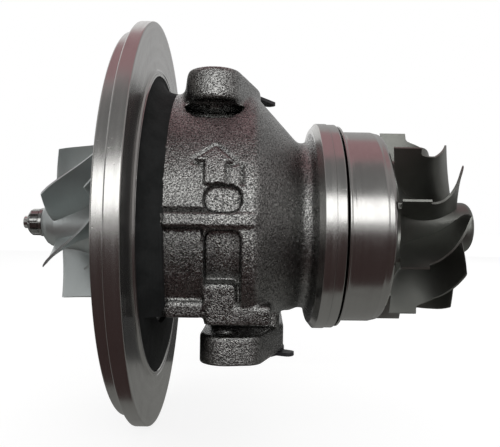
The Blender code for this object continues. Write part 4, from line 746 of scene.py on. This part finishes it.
def spread(start, end, steps, fine):
    """Shares from start to end, with extra ones this close to both ends."""
    shares = [start, start + 0.3 * fine, start + fine]
    shares += [blend(start + fine, end - fine, k / steps) for k in range(1, steps)]
    return shares + [end - fine, end - 0.3 * fine, end]


def compressor_blade(bm, place, start):
    """One compressor blade from this share of its length on."""
    line = blade_line(compressor_root, compressor_tip,
                      lambda share: place - COMPRESSOR_LAG + (COMPRESSOR_WRAP + COMPRESSOR_LAG) * share ** 0.75,
                      lambda share: place + COMPRESSOR_WRAP * share ** 0.75, 0.0012)

    def half_thickness(share, height):
        root_x, root_radius = compressor_root(share)
        tip_x, tip_radius = compressor_tip(share)
        distance = height * hypot(tip_x - root_x, tip_radius - root_radius)
        plain = 0.5 * blend(0.0015, 0.00090, height)
        return plain * edge_round((share - start) * 0.045, 0.0009) + root_fillet(distance, 0.0013)

    heights = [0.0, 0.02, 0.04, 0.07, 0.12, 0.25, 0.40, 0.55, 0.70, 0.85, 1.0]
    add_blade(bm, line, spread(start, 1.0, 26 if start == 0.0 else 16, 0.010), heights, half_thickness)


def compressor_wheel(look, edge_look):
    """The aluminium wheel: full blades with a splitter halfway between each pair."""
    curve = [compressor_root(k / 28) for k in range(29)]
    nose = [(COMPRESSOR_NOSE, COMPRESSOR_BORE), (COMPRESSOR_NOSE, COMPRESSOR_NOSE_RADIUS, 0.0005),
            (-0.1301, 0.0085), (-0.1290, 0.0099), (-0.1276, 0.0108), (-0.1258, 0.0114)]
    back = [(COMPRESSOR_BACK, COMPRESSOR_RADIUS), (COMPRESSOR_BACK, COMPRESSOR_BOSS_RADIUS),
            (COMPRESSOR_BOSS, COMPRESSOR_BOSS_RADIUS - 0.0015), (COMPRESSOR_BOSS, COMPRESSOR_BORE)]
    wheel = turned("compressor_impeller", nose + curve + back, HUB_TURN, 4)
    bm = bmesh.new()
    bm.from_mesh(wheel.data)
    for index in range(2 * COMPRESSOR_BLADES):
        place = COMPRESSOR_TIP_ANGLE + pi / COMPRESSOR_BLADES * index
        compressor_blade(bm, place, SPLITTER_START if index % 2 else 0.0)
    finish_wheel(wheel, bm)
    dress(wheel, "rotor", ["compressor_wheel"], [look, edge_look])


def finish_wheel(wheel, bm):
    """Put hub and blades back into the wheel's mesh."""
    bmesh.ops.recalc_face_normals(bm, faces=bm.faces)
    bm.to_mesh(wheel.data)
    bm.free()
    shade(wheel.data, 40)


def turbine_root(share):
    """The hub line under the turbine's blades, from the back of the tips to the exit."""
    start = (TURBINE_BACK + TURBINE_DISC, TURBINE_BACK_RADIUS)
    end = (TURBINE_BACK + TURBINE_LENGTH + TURBINE_EXIT_LEAN, TURBINE_BOSS_RADIUS - 0.0003)
    angle = share * pi / 2
    return (blend(start[0], end[0], 1.0 - cos(angle)), blend(start[1], end[1], sin(angle)))


def turbine_tip(share):
    """The line of the turbine blades' free edges: the tip, the notch behind it and the throat."""
    tip_end = TURBINE_BACK + TURBINE_TIP_WIDTH
    exit_x = TURBINE_BACK + TURBINE_LENGTH
    stations = [
        (0.00, TURBINE_BACK, TURBINE_RADIUS),
        (0.30, tip_end, TURBINE_RADIUS),
        (0.33, tip_end + 0.0004, TURBINE_RADIUS - 0.75 * TURBINE_NOTCH),
        (0.36, tip_end + 0.0011, TURBINE_RADIUS - TURBINE_NOTCH),
        (0.42, tip_end + 0.0028, TURBINE_RADIUS - TURBINE_NOTCH - 0.0007),
        (0.60, blend(tip_end, exit_x, 0.45), TURBINE_THROAT),
        (0.80, blend(tip_end, exit_x, 0.74), TURBINE_THROAT + 0.0002),
        (1.00, exit_x, TURBINE_EXIT_RADIUS)]
    for (low, x0, r0), (high, x1, r1) in zip(stations, stations[1:]):
        if share <= high:
            part = (share - low) / (high - low)
            return blend(x0, x1, part), blend(r0, r1, part)
    return stations[-1][1:]


def turbine_wrap(x, end, turn):
    """The turn of a turbine blade at a place along the axis; it is straight up to the notch."""
    straight = TURBINE_BACK + 0.9 * TURBINE_TIP_WIDTH
    run = max(x - straight, 0.0) / (end - straight)
    return turn * run ** TURBINE_BEND


def turbine_blade(bm, place):
    """One turbine blade: a radial tip and an exit that curls."""
    tip_exit = TURBINE_BACK + TURBINE_LENGTH
    root_exit = tip_exit + TURBINE_EXIT_LEAN
    line = blade_line(turbine_root, turbine_tip,
                      lambda share: place + turbine_wrap(turbine_root(share)[0], root_exit, TURBINE_ROOT_WRAP),
                      lambda share: place + turbine_wrap(turbine_tip(share)[0], tip_exit, TURBINE_WRAP), 0.0015)

    def half_thickness(share, height):
        root_x, root_radius = turbine_root(share)
        tip_x, tip_radius = turbine_tip(share)
        distance = height * hypot(tip_x - root_x, tip_radius - root_radius)
        plain = 0.5 * blend(0.0020, 0.0009, height ** 0.7)
        fillet = root_fillet(distance, 0.0020) * soft_step(0.02, 0.20, share)
        return plain * edge_round((1.0 - share) * 0.030, 0.0007) + fillet

    shares = [0.0, 0.05, 0.10, 0.15, 0.20, 0.25, 0.30, 0.33, 0.36, 0.39, 0.42, 0.46, 0.50, 0.55, 0.60, 0.65,
              0.70, 0.75, 0.80, 0.85, 0.90, 0.95, 0.975, 0.99, 1.0]
    heights = [0.0, 0.03, 0.06, 0.10, 0.16, 0.25, 0.40, 0.55, 0.70, 0.85, 1.0]
    add_blade(bm, line, shares, heights, half_thickness)


def turbine_wheel(look, ground_look):
    """The nickel alloy wheel, scalloped between its blades."""
    end = TURBINE_BACK + TURBINE_LENGTH + TURBINE_EXIT_LEAN
    curve = [turbine_root(k / 24) for k in range(24)]
    wheel = turned("turbine_rotor", [
        (TURBINE_STUB_LEFT, 0.0), (TURBINE_STUB_LEFT, TURBINE_STUB_RADIUS, 0.0006),
        (TURBINE_BACK - 0.0015, TURBINE_STUB_RADIUS, 0.0008), (TURBINE_BACK, TURBINE_STUB_RADIUS + 0.0015, 0.0008),
        (TURBINE_BACK, TURBINE_BACK_RADIUS, 0.0004), *curve, (end, TURBINE_BOSS_RADIUS),
        (TURBINE_BOSS_END, TURBINE_BOSS_RADIUS, TURBINE_BOSS_FILLET), (TURBINE_BOSS_END, 0.0)], 160, 6)
    scallops = []
    for index in range(TURBINE_BLADES):
        y, z = around(TURBINE_TIP_ANGLE + tau * (index + 0.5) / TURBINE_BLADES, SCALLOP_CIRCLE)
        scallops.append(rod("scallop", (TURBINE_BACK - CUT_PAST, y, z), (TURBINE_BACK + 0.0060, y, z),
                            SCALLOP_RADIUS, 48))
    combine(wheel, scallops, "DIFFERENCE")
    bm = bmesh.new()
    bm.from_mesh(wheel.data)
    for index in range(TURBINE_BLADES):
        turbine_blade(bm, TURBINE_TIP_ANGLE + tau * index / TURBINE_BLADES)
    finish_wheel(wheel, bm)
    dress(wheel, "rotor", ["turbine_wheel"], [look, ground_look])


# Shaft end and nut

def shaft(look):
    """The shaft, with its thread at the compressor end."""
    thread = []
    x = NUT_LEFT + 0.0002
    while x > SHAFT_LEFT + 0.0013:
        thread += [(x, THREAD_END_RADIUS + 0.0006), (x - 0.5 * THREAD_PITCH, THREAD_END_RADIUS + 0.0001)]
        x -= THREAD_PITCH
    made = turned("shaft_steel_part", [
        (SHAFT_RIGHT, 0.0), (SHAFT_RIGHT, 0.0112), (0.0047, 0.0112), (0.0047, 0.0070), (-0.0600, 0.0070),
        (-0.0600, 0.0055), (-0.0835, 0.0055), (-0.0835, 0.0040), (COMPRESSOR_NOSE, 0.0040),
        (NUT_LEFT + 0.0004, THREAD_RADIUS), *thread, (SHAFT_LEFT + 0.0008, THREAD_END_RADIUS),
        (SHAFT_LEFT, THREAD_END_RADIUS, 0.0006), (SHAFT_LEFT, 0.0010, 0.0002), (SHAFT_LEFT + 0.0008, 0.0)],
        SMALL_TURN, 4)
    dress(made, "rotor", ["rotor_shaft"], [look])


def nut_radius(angle):
    """The fluted outline of the nut at an angle."""
    wave = abs(sin(0.5 * NUT_FLUTES * angle))
    return NUT_RADIUS - NUT_FLUTE_DEPTH * (1.0 - soft_step(0.10, 0.62, wave))


def locknut(look):
    """The multi-point nut, chamfered at its free end, on its washer face."""
    bm = bmesh.new()
    washer_left = NUT_RIGHT - WASHER_THICKNESS
    rows = [(NUT_LEFT, 0.0041, 0.0041), (NUT_LEFT, 0.0049, 0.0049), (NUT_LEFT + 0.0006, 0.0, 0.0056),
            (NUT_LEFT + 0.0014, 0.0, 0.0061), (washer_left - 0.0002, 0.0, NUT_RADIUS),
            (washer_left, 0.0056, 0.0059), (washer_left + 0.0001, 0.0062, 0.0062),
            (washer_left + 0.0003, WASHER_RADIUS, WASHER_RADIUS), (NUT_RIGHT - 0.0002, WASHER_RADIUS, WASHER_RADIUS),
            (NUT_RIGHT, WASHER_RADIUS - 0.0003, WASHER_RADIUS - 0.0003), (NUT_RIGHT, 0.0039, 0.0039),
            (NUT_LEFT + 0.0004, 0.0037, 0.0037)]
    count = 20 * NUT_FLUTES
    rings = []
    for x, least, most in rows:
        ring = []
        for k in range(count):
            angle = tau * k / count
            radius = min(max(nut_radius(angle), least), most)
            ring.append(bm.verts.new(on_wheel(x, radius, angle)))
        rings.append(ring)
    for first, second in zip(rings, rings[1:] + rings[:1]):
        for k in range(count):
            bm.faces.new([first[k - 1], first[k], second[k], second[k - 1]])
    nut = add_object("locknut", bm, 30)
    dress(nut, "rotor", ["compressor_locknut"], [look])


# Plugs

def port_plug(name, node, x, face, outward, port_radius, tab_length, tab_angle, look):
    """A push-in plug for an oil port: stem, cap and pull tab. outward is 1 for up and -1 for down."""
    stem = port_radius - GAP
    cap = port_radius + PLUG_OVERLAP
    top = GAP + PLUG_THICKNESS
    plug = turned(name, [
        (-0.0070, stem - 0.0016), (-0.0070, stem, 0.0006), (GAP, stem), (GAP, cap, 0.0003), (top, cap, 0.0008),
        (top, stem, 0.0004), (top - 0.0008, stem - 0.0008, 0.0004), (top - 0.0008, 0.0), (GAP, 0.0),
        (GAP, stem - 0.0016)], 96, 4)
    plug.data.transform(Matrix.Translation((x, 0.0, face)) @ Matrix.Rotation(-outward * pi / 2, 4, "Y"))
    outline = rounded([(0.5 * cap, -TAB_HALF), (tab_length, -0.7 * TAB_HALF, 0.6 * TAB_HALF),
                       (tab_length, 0.7 * TAB_HALF, 0.6 * TAB_HALF), (0.5 * cap, TAB_HALF)])
    frame = Matrix.Translation((x, 0.0, face)) @ Matrix.Rotation(tab_angle, 4, "Z")
    if outward > 0:
        frame = frame @ Matrix.Rotation(TAB_DROOP, 4, "Y")
    tab_top = top - 0.0002
    tab = prism("tab", outline, outward * (tab_top - TAB_THICKNESS), outward * tab_top, frame)
    combine(plug, [tab], "UNION")
    shade(plug.data)
    dress(plug, "housing", [node], [look])


def dress(piece, body, nodes, looks):
    """Give a piece its materials and its place in the frame."""
    piece.data.materials.clear()
    for look in looks:
        piece.data.materials.append(look)
    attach(piece, body)
    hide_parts(*nodes)


# Materials

def start_material(name, colour, roughness, metallic):
    """A material's tree, shader and object coordinates, with its plain values set."""
    made = bpy.data.materials.new(name)
    made.use_nodes = True
    made.diffuse_color = (*colour, 1.0)
    tree = made.node_tree
    shader = tree.nodes["Principled BSDF"]
    shader.inputs["Base Color"].default_value = (*colour, 1.0)
    shader.inputs["Roughness"].default_value = roughness
    shader.inputs["Metallic"].default_value = metallic
    place = tree.nodes.new("ShaderNodeTexCoord").outputs["Object"]
    return made, tree, shader, place


def noise_of(tree, vector, scale, detail=2.0, roughness=0.5):
    """A noise value over the surface."""
    node = tree.nodes.new("ShaderNodeTexNoise")
    node.inputs["Scale"].default_value = scale
    node.inputs["Detail"].default_value = detail
    node.inputs["Roughness"].default_value = roughness
    tree.links.new(vector, node.inputs["Vector"])
    return node.outputs["Fac"]


def ranged(tree, value, low, high, to_low, to_high):
    """A value mapped from one range to another."""
    node = tree.nodes.new("ShaderNodeMapRange")
    node.interpolation_type = "SMOOTHSTEP"
    for name, number in (("From Min", low), ("From Max", high), ("To Min", to_low), ("To Max", to_high)):
        node.inputs[name].default_value = number
    tree.links.new(value, node.inputs["Value"])
    return node.outputs["Result"]


def mixed(tree, share, first, second):
    """A colour between two, by a share."""
    node = tree.nodes.new("ShaderNodeMix")
    node.data_type = "RGBA"
    tree.links.new(share, node.inputs["Factor"])
    for socket, value in ((node.inputs["A"], first), (node.inputs["B"], second)):
        if isinstance(value, tuple):
            socket.default_value = (*value, 1.0)
        else:
            tree.links.new(value, socket)
    return node.outputs["Result"]


def bumped(tree, shader, layers):
    """Bump the surface by (height, distance, strength) layers."""
    normal = None
    for height, distance, strength in layers:
        node = tree.nodes.new("ShaderNodeBump")
        node.inputs["Distance"].default_value = distance
        node.inputs["Strength"].default_value = strength
        tree.links.new(height, node.inputs["Height"])
        if normal is not None:
            tree.links.new(normal, node.inputs["Normal"])
        normal = node.outputs["Normal"]
    tree.links.new(normal, shader.inputs["Normal"])


def lathe_coordinates(tree, place):
    """Coordinates that only change along the axis and with the radius, for turning marks."""
    split = tree.nodes.new("ShaderNodeSeparateXYZ")
    tree.links.new(place, split.inputs[0])
    across = tree.nodes.new("ShaderNodeCombineXYZ")
    tree.links.new(split.outputs["Y"], across.inputs["X"])
    tree.links.new(split.outputs["Z"], across.inputs["Y"])
    length = tree.nodes.new("ShaderNodeVectorMath")
    length.operation = "LENGTH"
    tree.links.new(across.outputs[0], length.inputs[0])
    lathe = tree.nodes.new("ShaderNodeCombineXYZ")
    tree.links.new(split.outputs["X"], lathe.inputs["X"])
    tree.links.new(length.outputs["Value"], lathe.inputs["Y"])
    return lathe.outputs[0]


def cast_metal(name, dark, light, roughness, grain, depth, metallic=0.9):
    """Sand-cast metal: coarse glinting grains over a dark skin."""
    made, tree, shader, place = start_material(name, light, roughness, metallic)
    fine = noise_of(tree, place, 1.0 / grain, 2.0, 0.6)
    coarse = noise_of(tree, place, 0.30 / grain, 2.0, 0.5)
    broad = noise_of(tree, place, 45.0, 3.0, 0.5)
    colour = mixed(tree, ranged(tree, fine, 0.36, 0.62, 0.0, 1.0), dark, light)
    patchy = mixed(tree, ranged(tree, broad, 0.35, 0.70, 0.0, 0.35), colour, dark)
    tree.links.new(patchy, shader.inputs["Base Color"])
    tree.links.new(ranged(tree, coarse, 0.3, 0.7, roughness - 0.06, roughness + 0.08), shader.inputs["Roughness"])
    bumped(tree, shader, [(coarse, depth, 0.35), (fine, depth, 1.0)])
    return made


def painted_shade_skin(name, colour, paler, roughness):
    """Smooth cast skin with little gloss, coloured near black as painted shade for a shadowed hollow."""
    made, tree, shader, place = start_material(name, colour, roughness, 0.0)
    shader.inputs["Specular IOR Level"].default_value = 0.12
    slow = noise_of(tree, place, 120.0, 3.0, 0.6)
    fine = noise_of(tree, place, 900.0, 2.0, 0.5)
    tree.links.new(mixed(tree, ranged(tree, slow, 0.35, 0.70, 0.0, 1.0), colour, paler), shader.inputs["Base Color"])
    tree.links.new(ranged(tree, fine, 0.3, 0.7, roughness - 0.06, roughness + 0.06), shader.inputs["Roughness"])
    bumped(tree, shader, [(fine, 0.00006, 0.6)])
    return made


def turned_metal(name, colour, shadow, roughness, spread_of=0.06, marks=2200.0, depth=0.000012, specks=True):
    """Machined metal with fine turning marks, faint stains and tiny specks."""
    made, tree, shader, place = start_material(name, colour, roughness, 1.0)
    lathe = lathe_coordinates(tree, place)
    lines = noise_of(tree, lathe, marks, 4.0, 0.7)
    bands = noise_of(tree, lathe, 420.0, 2.0, 0.6)
    stains = noise_of(tree, place, 70.0, 4.0, 0.6)
    tint = mixed(tree, ranged(tree, stains, 0.45, 0.80, 0.0, 0.55), colour, shadow)
    lined = mixed(tree, ranged(tree, lines, 0.30, 0.70, 0.0, 0.12), tint, shadow)
    tree.links.new(lined, shader.inputs["Base Color"])
    tree.links.new(ranged(tree, bands, 0.30, 0.70, roughness - spread_of, roughness + spread_of),
                   shader.inputs["Roughness"])
    layers = [(lines, depth, 0.6)]
    if specks:
        dots = ranged(tree, noise_of(tree, place, 900.0, 1.0, 0.5), 0.70, 0.80, 1.0, 0.0)
        layers.append((dots, 0.00003, 0.5))
    bumped(tree, shader, layers)
    return made


def satin_metal(name, colour, shadow, roughness, grain=1600.0, depth=0.00002):
    """Metal with a fine even texture and slow changes of tone."""
    made, tree, shader, place = start_material(name, colour, roughness, 1.0)
    fine = noise_of(tree, place, grain, 3.0, 0.6)
    slow = noise_of(tree, place, 55.0, 3.0, 0.5)
    tree.links.new(mixed(tree, ranged(tree, slow, 0.35, 0.75, 0.0, 0.6), colour, shadow),
                   shader.inputs["Base Color"])
    tree.links.new(ranged(tree, fine, 0.3, 0.7, roughness - 0.04, roughness + 0.05), shader.inputs["Roughness"])
    bumped(tree, shader, [(fine, depth, 0.6)])
    return made


def moulded(name, colour, roughness, grain, depth):
    """Moulded plastic or rubber with a light texture."""
    made, tree, shader, place = start_material(name, colour, roughness, 0.0)
    fine = noise_of(tree, place, grain, 2.0, 0.5)
    paler = tuple(1.8 * part for part in colour)
    tree.links.new(mixed(tree, ranged(tree, noise_of(tree, place, 90.0), 0.4, 0.8, 0.0, 0.7), colour, paler),
                   shader.inputs["Base Color"])
    tree.links.new(ranged(tree, fine, 0.3, 0.7, roughness - 0.05, roughness + 0.08), shader.inputs["Roughness"])
    bumped(tree, shader, [(fine, depth, 0.5)])
    return made


def make_looks():
    """The materials by slot, with a few extra ones for ground edges."""
    return {
        "cast_iron": cast_metal("cast_iron_skin", (0.060, 0.060, 0.058), (0.46, 0.46, 0.447), 0.20, 0.00054,
                                0.00032, 1.0),
        # the collar hollow's near-black colour is painted shade, not the casting's own colour
        "cast_hollow": painted_shade_skin("cast_hollow_painted_shade", (0.013, 0.014, 0.014), (0.020, 0.021, 0.021), 0.75),
        "machined_iron": turned_metal("machined_iron_turned", (0.46, 0.455, 0.44), (0.34, 0.33, 0.32), 0.24,
                                      0.03, 2600.0, 0.000006),
        "cast_aluminium": satin_metal("aluminium_satin", (0.57, 0.605, 0.60), (0.46, 0.49, 0.485), 0.46),
        "aluminium_edge": satin_metal("aluminium_cut", (0.78, 0.79, 0.79), (0.66, 0.67, 0.67), 0.26),
        "nickel_alloy": satin_metal("nickel_cast", (0.235, 0.240, 0.222), (0.165, 0.170, 0.158), 0.44, 1900.0,
                                    0.00004),
        "nickel_ground": satin_metal("nickel_ground_face", (0.74, 0.74, 0.71), (0.58, 0.58, 0.55), 0.36),
        "pressed_steel": turned_metal("pressed_steel_satin", (0.45, 0.445, 0.43), (0.34, 0.33, 0.32), 0.23,
                                      0.03, 900.0, 0.000004, False),
        "shaft_steel": turned_metal("shaft_steel_bright", (0.62, 0.62, 0.60), (0.42, 0.41, 0.40), 0.18),
        "nut_steel": turned_metal("nut_steel_polished", (0.34, 0.34, 0.33), (0.20, 0.20, 0.19), 0.16),
        "bronze": turned_metal("bronze_bearing", (0.62, 0.44, 0.20), (0.42, 0.27, 0.11), 0.32),
        "rubber": moulded("rubber_ring", (0.025, 0.025, 0.025), 0.70, 1200.0, 0.00003),
        "plug_plastic": moulded("plug_plastic_black", (0.016, 0.016, 0.018), 0.45, 1500.0, 0.00003),
    }


def dress_nodes(frame, looks):
    """Give every CAD node that stays the procedural material of its slot."""
    for node, made in frame["nodes"].items():
        for slot in made.material_slots:
            plain = slot.material.name.split(".")[0] if slot.material else "machined_iron"
            slot.material = looks.get(plain, looks["machined_iron"])


# Camera, light and floor

FOCAL = 552.28
FRAME_WIDTH = 500.0
CAMERA_PLACE = (-0.03949, -0.25603, -0.00024)
YAW = radians(0.553)
PITCH = radians(0.208)
ROLL = radians(0.805)


def add_camera():
    """The camera where the photograph was taken from."""
    forward = Vector((sin(YAW) * cos(PITCH), cos(YAW) * cos(PITCH), sin(PITCH)))
    right = Vector((cos(YAW), -sin(YAW), 0.0))
    up = right.cross(forward)
    turned_right = right * cos(ROLL) + up * sin(ROLL)
    turned_up = -right * sin(ROLL) + up * cos(ROLL)
    camera = bpy.data.objects.new("camera", bpy.data.cameras.new("camera"))
    camera.data.sensor_width = 36.0
    camera.data.lens = FOCAL / FRAME_WIDTH * 36.0
    camera.data.clip_start = 0.01
    place = Matrix((turned_right, turned_up, -forward)).transposed().to_4x4()
    camera.matrix_world = Matrix.Translation(CAMERA_PLACE) @ place
    bpy.context.scene.collection.objects.link(camera)
    bpy.context.scene.camera = camera


def add_lamp(name, place, target, width, height, power, mirrored=True):
    """A soft area lamp that faces a point; one that isn't mirrored stays out of reflections."""
    lamp = bpy.data.lights.new(name, "AREA")
    lamp.shape = "RECTANGLE"
    lamp.size = width
    lamp.size_y = height
    lamp.energy = power
    made = bpy.data.objects.new(name, lamp)
    made.visible_glossy = mirrored
    facing = (Vector(target) - Vector(place)).to_track_quat("-Z", "Y").to_matrix().to_4x4()
    made.matrix_world = Matrix.Translation(place) @ facing
    bpy.context.scene.collection.objects.link(made)


def lit_for_view(tree, view_shader, other_shader, output):
    """Show one shader to camera, glossy and transmission rays and the other to the rest."""
    path = tree.nodes.new("ShaderNodeLightPath")
    total = None
    for name in ("Is Camera Ray", "Is Glossy Ray", "Is Transmission Ray"):
        if total is None:
            total = path.outputs[name]
            continue
        node = tree.nodes.new("ShaderNodeMath")
        node.operation = "MAXIMUM"
        tree.links.new(total, node.inputs[0])
        tree.links.new(path.outputs[name], node.inputs[1])
        total = node.outputs[0]
    mix = tree.nodes.new("ShaderNodeMixShader")
    tree.links.new(total, mix.inputs[0])
    tree.links.new(other_shader, mix.inputs[1])
    tree.links.new(view_shader, mix.inputs[2])
    tree.links.new(mix.outputs[0], output)


def add_world():
    """A white surround that lights the object at a plain level."""
    world = bpy.data.worlds.new("world")
    bpy.context.scene.world = world
    world.use_nodes = True
    tree = world.node_tree
    tree.nodes.clear()
    white = tree.nodes.new("ShaderNodeBackground")
    white.inputs["Strength"].default_value = 1.0
    white.inputs["Color"].default_value = (1.0, 1.0, 1.0, 1.0)
    soft = tree.nodes.new("ShaderNodeBackground")
    soft.inputs["Strength"].default_value = 0.55
    soft.inputs["Color"].default_value = (1.0, 1.0, 1.0, 1.0)
    output = tree.nodes.new("ShaderNodeOutputWorld")
    lit_for_view(tree, white.outputs[0], soft.outputs[0], output.inputs["Surface"])


def add_floor():
    """A pale floor just under the disc's rim, which keeps the object's shadow."""
    bm = bmesh.new()
    bmesh.ops.create_grid(bm, x_segments=1, y_segments=1, size=6.0)
    bmesh.ops.translate(bm, verts=bm.verts, vec=(0, 0, -PLATE_RADIUS - 0.0004))
    floor = add_object("floor", bm)
    made, tree, shader, place = start_material("floor_pale", (0.80, 0.80, 0.80), 0.90, 0.0)
    dust = ranged(tree, noise_of(tree, place, 3.0), 0.3, 0.7, 0.86, 0.90)
    tree.links.new(dust, shader.inputs["Roughness"])
    shader.inputs["Base Color"].default_value = (0.30, 0.30, 0.30, 1.0)
    glow = tree.nodes.new("ShaderNodeEmission")
    glow.inputs["Strength"].default_value = 0.80
    both = tree.nodes.new("ShaderNodeAddShader")
    tree.links.new(shader.outputs[0], both.inputs[0])
    tree.links.new(glow.outputs[0], both.inputs[1])
    output = tree.nodes["Material Output"]
    lit_for_view(tree, both.outputs[0], shader.outputs[0], output.inputs["Surface"])
    floor.data.materials.append(made)


def add_card(name, radius, azimuths, elevations, colour, strength):
    """A curved studio card, seen only in reflections. Azimuth 0 is at -Y and grows towards +X."""
    bm = bmesh.new()
    rows = []
    for j in range(5):
        elevation = radians(blend(elevations[0], elevations[1], j / 4))
        row = []
        for i in range(25):
            azimuth = radians(blend(azimuths[0], azimuths[1], i / 24))
            flat = radius * cos(elevation)
            row.append(bm.verts.new((-0.04 + flat * sin(azimuth), -flat * cos(azimuth), radius * sin(elevation))))
        rows.append(row)
    for lower, upper in zip(rows, rows[1:]):
        for i in range(24):
            bm.faces.new([lower[i], lower[i + 1], upper[i + 1], upper[i]])
    glow_card(add_object(name, bm), colour, strength)


def glow_card(card, colour, strength):
    """Make a card glow evenly, for glossy rays alone."""
    made = bpy.data.materials.new(card.name)
    made.use_nodes = True
    tree = made.node_tree
    tree.nodes.clear()
    glow = tree.nodes.new("ShaderNodeEmission")
    glow.inputs["Color"].default_value = (*colour, 1.0)
    glow.inputs["Strength"].default_value = strength
    output = tree.nodes.new("ShaderNodeOutputMaterial")
    tree.links.new(glow.outputs[0], output.inputs["Surface"])
    card.data.materials.append(made)
    card.visible_camera = False
    card.visible_diffuse = False
    card.visible_shadow = False
    card.visible_transmission = False
    card.visible_volume_scatter = False


def add_floor_card(name, x_range, y_range, colour, strength):
    """A flat studio card just over the floor, seen only in reflections."""
    bm = bmesh.new()
    z = -PLATE_RADIUS - 0.0002
    bm.faces.new([bm.verts.new((x_range[i], y_range[j], z)) for i, j in ((0, 0), (1, 0), (1, 1), (0, 1))])
    glow_card(add_object(name, bm), colour, strength)


def add_studio():
    """The lamps and cards round the object."""
    add_world()
    add_floor()
    add_lamp("key", (0.12, -1.05, 0.34), (-0.04, 0.0, 0.0), 1.7, 0.52, 7.0)
    add_lamp("back", (0.30, 1.05, 0.70), (-0.04, 0.0, 0.0), 0.9, 0.5, 3.0, False)
    add_card("card_left", 1.55, (-118, -46), (-2, 76), (1.0, 1.0, 1.0), 0.50)
    add_card("card_front", 1.60, (-46, 52), (-1, 76), (1.0, 1.0, 1.0), 0.24)
    add_card("card_right", 1.55, (52, 118), (-2, 76), (1.0, 0.96, 0.96), 0.42)
    add_card("card_back", 1.50, (118, 178), (-2, 70), (1.0, 1.0, 1.0), 0.50)
    add_card("card_top", 1.40, (-115, 115), (74, 125), (1.0, 0.62, 0.66), 0.52)
    add_floor_card("card_low_front", (-1.3, 1.3), (-1.5, -0.055), (1.0, 0.66, 0.64), 0.06)
    add_floor_card("card_low_middle", (-1.3, 1.3), (-0.055, 0.100), (1.0, 1.0, 0.96), 0.23)
    add_floor_card("card_low_back", (-1.3, 1.3), (0.100, 1.5), (1.0, 1.0, 1.0), 0.05)


def main():
    """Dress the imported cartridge."""
    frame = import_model()
    add_camera()
    looks = make_looks()
    dress_nodes(frame, looks)
    housing_casting(looks["cast_iron"])
    housing_collar(looks["cast_hollow"])
    housing_flange(looks["machined_iron"])
    backplate(looks["machined_iron"])
    heat_shield(looks["pressed_steel"])
    compressor_wheel(looks["cast_aluminium"], looks["aluminium_edge"])
    turbine_wheel(looks["nickel_alloy"], looks["nickel_ground"])
    shaft(looks["shaft_steel"])
    locknut(looks["nut_steel"])
    port_plug("inlet_plug", "oil_inlet_plug", INLET_X, INLET_TOP, 1, INLET_PORT, 0.0390, radians(49),
              looks["plug_plastic"])
    port_plug("drain_plug", "oil_drain_plug", DRAIN_X, DRAIN_LOW, -1, DRAIN_PORT, 0.0240, radians(-28),
              looks["plug_plastic"])
    add_studio()
    bpy.context.scene.view_settings.view_transform = "Standard"


main()
